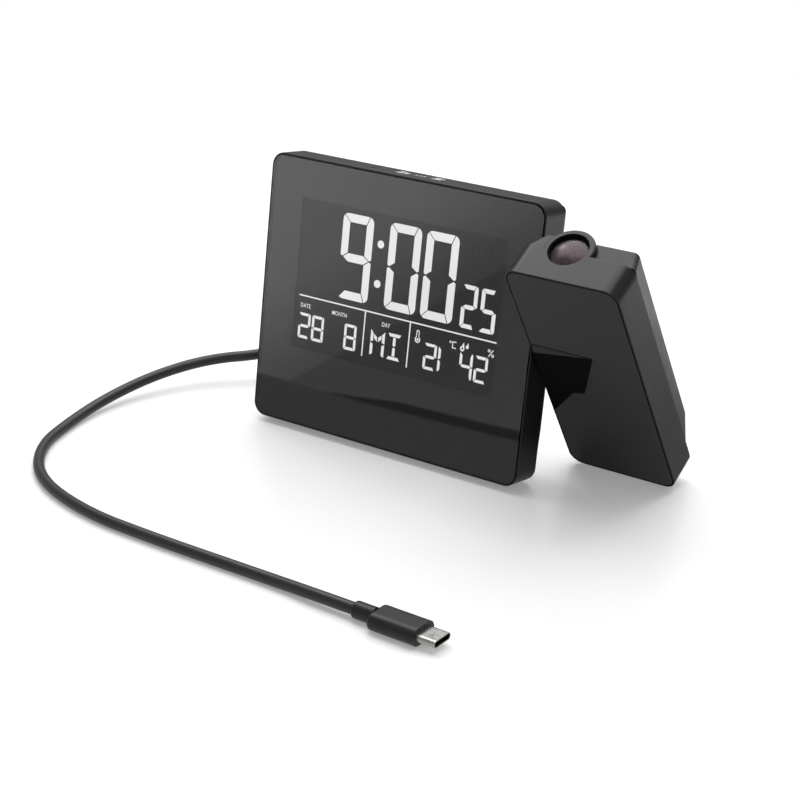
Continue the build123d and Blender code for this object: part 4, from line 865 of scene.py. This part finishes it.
# A grey shine along the top, over a dull dark body.
cable_jacket = moulded("satin_elastomer_jacket", "#242425", "#2b2b2c", 0.35, 0.003, 0.34, 0.42, 1.48)
# Darker and a little duller than the jacket.
dress(moulded("satin_moulded_plug_grip", "#1b1b1c", "#202021", 0.35, 0.003, 0.36, 0.44, 1.42),
      "usb_a_grip", "usb_a_relief", "usb_c_grip", "usb_c_relief")
fit(charging_cable, "root", "cable_jacket", cable_jacket, "usb_cable")


# ---- Table ----
# White lacquered board. In the clock's glossy faces it shows painted shade, darkest close to the
# clock, where its own shade would lie, and one painted bright patch behind, as under a lamp.
def grade(ramp, stops):
    """Sets a colour ramp to greys, each given as its place and its value."""
    for i, (at, value) in enumerate(stops):
        stop = ramp.elements[i] if i < 2 else ramp.elements.new(at)
        stop.position = at
        stop.color = (value, value, value, 1)


FLOOR_R = 0.62
CLOCK_FOOT, PATCH_AT = (0.03, 0.045, 0.0), (0.06, 0.36, 0.0)

floor_shape = bmesh.new()
bmesh.ops.create_circle(floor_shape, cap_ends=True, segments=96, radius=FLOOR_R)
floor_mesh = bpy.data.meshes.new("floor")
floor_shape.to_mesh(floor_mesh)
floor_shape.free()
floor = new_object("floor", floor_mesh)

# Bright and even, with a soft gloss that mirrors the clock's foot.
white_table, tree, place = start_material("white_lacquered_table")
drift = add_node(tree, "ShaderNodeTexNoise", {"Scale": 12.0, "Detail": 2.0}, {"Vector": place})
gloss = add_node(tree, "ShaderNodeMapRange", {"To Min": 0.24, "To Max": 0.27}, {"Value": drift})
lacquer = add_node(tree, "ShaderNodeBsdfPrincipled",
                   {"Base Color": linear("#f7f7f7"), "IOR": 1.5, "Emission Color": linear("#ffffff"),
                    "Emission Strength": 0.22}, {"Roughness": gloss})
from_foot = add_node(tree, "ShaderNodeVectorMath", {1: CLOCK_FOOT}, {0: place}, operation="DISTANCE")
reach = add_node(tree, "ShaderNodeMapRange", {"From Max": 0.2}, {"Value": from_foot})
# painted shade, for reflections: darker the closer to the clock's foot
painted_shade = add_node(tree, "ShaderNodeValToRGB", links={"Fac": reach})
grade(painted_shade.color_ramp, ((0.175, 0.12), (0.30, 0.34), (0.45, 0.42), (0.90, 0.62)))
# a painted bright patch behind the clock, as a pool of light would be
from_patch = add_node(tree, "ShaderNodeVectorMath", {1: PATCH_AT}, {0: place}, operation="DISTANCE")
painted_bright_patch = add_node(tree, "ShaderNodeMapRange",
                 {"From Min": 0.10, "From Max": 0.25, "To Min": 1.1, "To Max": 0.0}, {"Value": from_patch},
                 interpolation_type="SMOOTHSTEP")
tone = add_node(tree, "ShaderNodeMath", links={0: painted_shade, 1: painted_bright_patch}, operation="ADD")
# glossy rays see mostly this painted shade and light instead of the lit lacquer
painted_reflection = add_node(tree, "ShaderNodeEmission", links={"Strength": tone})
to_gloss = add_node(tree, "ShaderNodeLightPath").outputs["Is Glossy Ray"]
in_gloss = add_node(tree, "ShaderNodeMath", {1: 0.85}, {0: to_gloss}, operation="MULTIPLY")
table_look = add_node(tree, "ShaderNodeMixShader", links={0: in_gloss, 1: lacquer, 2: painted_reflection})
add_node(tree, "ShaderNodeOutputMaterial", links={"Surface": table_look})
floor.data.materials.append(white_table)

# ---- Reflection card ----
# A graded card stands just in front of the case, as a flag would, and only reflections see it. It
# glows with a painted reflection: it brightens towards its upper left corner, and ends in a painted
# dark band over a grey strip at its foot.
CARD_Y, CARD_X0, CARD_X1, CARD_Z0, CARD_Z1 = -4.5, -8, CASE_W - 1, -2.4, 97
CARD_LIGHT, BAND_LIGHT, STRIP_LIGHT = 1.2, 0.125, 0.29

card_mesh = bpy.data.meshes.new("reflection_card")
card_corners = [(CARD_X0, CARD_Y, CARD_Z0), (CARD_X1, CARD_Y, CARD_Z0), (CARD_X1, CARD_Y, CARD_Z1),
                (CARD_X0, CARD_Y, CARD_Z1)]
card_mesh.from_pydata(card_corners, [], [(3, 2, 1, 0)])
card = new_object("reflection_card", card_mesh)
card.matrix_world = CASE

painted_reflection_card, tree, place = start_material("painted_reflection_card")
spot = add_node(tree, "ShaderNodeSeparateXYZ", links={"Vector": place}).outputs
slope = add_node(tree, "ShaderNodeMath", {1: 0.68, 2: 6.15}, {0: spot["X"]}, operation="MULTIPLY_ADD")
above = add_node(tree, "ShaderNodeMath", links={0: spot["Z"], 1: slope}, operation="SUBTRACT")
way_up = add_node(tree, "ShaderNodeMapRange", {"From Min": -73.0, "From Max": 85.0}, {"Value": above})
# the painted reflection: brighter towards the upper left
shade = add_node(tree, "ShaderNodeValToRGB", links={"Fac": way_up})
CARD_STOPS = ((0.460, 0.383), (0.463, 0.514), (0.508, 0.56), (0.577, 0.70), (0.638, 0.82), (0.699, 0.953),
              (0.768, 1.019), (0.830, 1.047), (0.952, 1.12))
grade(shade.color_ramp, [(at, value / CARD_LIGHT) for at, value in CARD_STOPS])
# the strip's upper edge bows, and the band above it starts as a wedge and then keeps its height
aside = add_node(tree, "ShaderNodeMath", {1: 30.0}, {0: spot["X"]}, operation="SUBTRACT")
bow = add_node(tree, "ShaderNodeMath", links={0: aside, 1: aside}, operation="MULTIPLY")
strip_top = add_node(tree, "ShaderNodeMath", {1: 0.00026, 2: 13.2}, {0: bow}, operation="MULTIPLY_ADD")
wedge = add_node(tree, "ShaderNodeMath", {1: 0.11, 2: -3.1}, {0: spot["X"]}, operation="MULTIPLY_ADD")
band_height = add_node(tree, "ShaderNodeMath", {1: 3.5, 2: 1.0}, {0: wedge}, operation="SMOOTH_MIN")
band_top = add_node(tree, "ShaderNodeMath", links={0: strip_top, 1: band_height}, operation="ADD")
in_band = add_node(tree, "ShaderNodeMath", links={0: spot["Z"], 1: band_top}, operation="LESS_THAN")
in_strip = add_node(tree, "ShaderNodeMath", links={0: spot["Z"], 1: strip_top}, operation="LESS_THAN")
banded = add_node(tree, "ShaderNodeMix", {"B": BAND_LIGHT / CARD_LIGHT}, {"Factor": in_band, "A": shade})
footed = add_node(tree, "ShaderNodeMix", {"B": STRIP_LIGHT / CARD_LIGHT}, {"Factor": in_strip, "A": banded})
light = add_node(tree, "ShaderNodeEmission", {"Strength": CARD_LIGHT}, {"Color": footed})
nothing = add_node(tree, "ShaderNodeBsdfTransparent")
facing = add_node(tree, "ShaderNodeNewGeometry").outputs["Backfacing"]
one_side = add_node(tree, "ShaderNodeMixShader", links={0: facing, 1: light, 2: nothing})
add_node(tree, "ShaderNodeOutputMaterial", links={"Surface": one_side})
card.data.materials.append(painted_reflection_card)
card.visible_camera = False
card.visible_diffuse = False
card.visible_shadow = False
card.visible_volume_scatter = False

# ---- Room and lamps ----
# A pale room that is pure white to the camera. Its rear wall, as the clock mirrors it, has a bright
# band above a darker one. One wide soft box hangs overhead, and a small one gives the highlights.
world = bpy.data.worlds.new("white_room")
bpy.context.scene.world = world
world.use_nodes = True
tree = world.node_tree
tree.nodes.clear()
outward = add_node(tree, "ShaderNodeTexCoord").outputs["Generated"]
way = add_node(tree, "ShaderNodeSeparateXYZ", links={"Vector": outward}).outputs
behind = add_node(tree, "ShaderNodeMapRange", {"From Min": 0.3, "From Max": 0.7}, {"Value": way["Y"]},
                  interpolation_type="SMOOTHSTEP")
height = add_node(tree, "ShaderNodeMapRange", {"From Min": -0.2, "From Max": 0.8}, {"Value": way["Z"]})
wall = add_node(tree, "ShaderNodeValToRGB", links={"Fac": height})
grade(wall.color_ramp, ((0.10, 1.0), (0.16, 0.0), (0.56, 0.0), (0.64, 1.0), (0.80, 1.0), (0.95, 0.0)))
backdrop = add_node(tree, "ShaderNodeMapRange", {"To Min": 0.26, "To Max": 1.0}, {"Value": wall})
glow = add_node(tree, "ShaderNodeMix", {"A": 0.38}, {"Factor": behind, "B": backdrop})
room = add_node(tree, "ShaderNodeBackground", {"Color": (1, 1, 1, 1)}, {"Strength": glow})
seen = add_node(tree, "ShaderNodeBackground", {"Color": (1, 1, 1, 1), "Strength": 1.0})
to_camera = add_node(tree, "ShaderNodeLightPath").outputs["Is Camera Ray"]
mixed = add_node(tree, "ShaderNodeMixShader", links={0: to_camera, 1: room, 2: seen})
add_node(tree, "ShaderNodeOutputWorld", links={"Surface": mixed})

overhead = bpy.data.lights.new("overhead_soft_box", "AREA")
overhead.shape = "RECTANGLE"
overhead.size, overhead.size_y = 1.05, 1.05
overhead.energy = 9.5
new_object("overhead_soft_box", overhead).location = (-0.225, 0.375, 0.9)

small_key = bpy.data.lights.new("small_soft_key", "AREA")
small_key.shape = "DISK"
small_key.size = 0.17
small_key.energy = 0.8
small_key_lamp = new_object("small_soft_key", small_key)
small_key_lamp.location = (-0.76, 0.34, 0.92)
small_key_lamp.rotation_euler = Vector((-0.80, 0.35, 0.80)).to_track_quat("Z", "Y").to_euler()

# ---- Camera ----
# It stands to the right of the clock and above it, and a long lens keeps the perspective weak. Nothing
# is out of focus.
CAMERA_AT = (0.345316, -0.512231, 0.276909)
AZIMUTH, ELEVATION = radians(35.788), radians(22.55)
SENSOR, LENS = 36.0, 85.987

camera = bpy.data.cameras.new("camera")
camera.sensor_width = SENSOR
camera.lens = LENS
camera.clip_start, camera.clip_end = 0.05, 20.0
camera_object = new_object("camera", camera)
camera_object.location = CAMERA_AT
ahead = Vector((-sin(AZIMUTH) * cos(ELEVATION), cos(AZIMUTH) * cos(ELEVATION), -sin(ELEVATION)))
camera_object.rotation_euler = ahead.to_track_quat("-Z", "Y").to_euler()
bpy.context.scene.camera = camera_object
bpy.context.scene.view_settings.view_transform = "Standard"
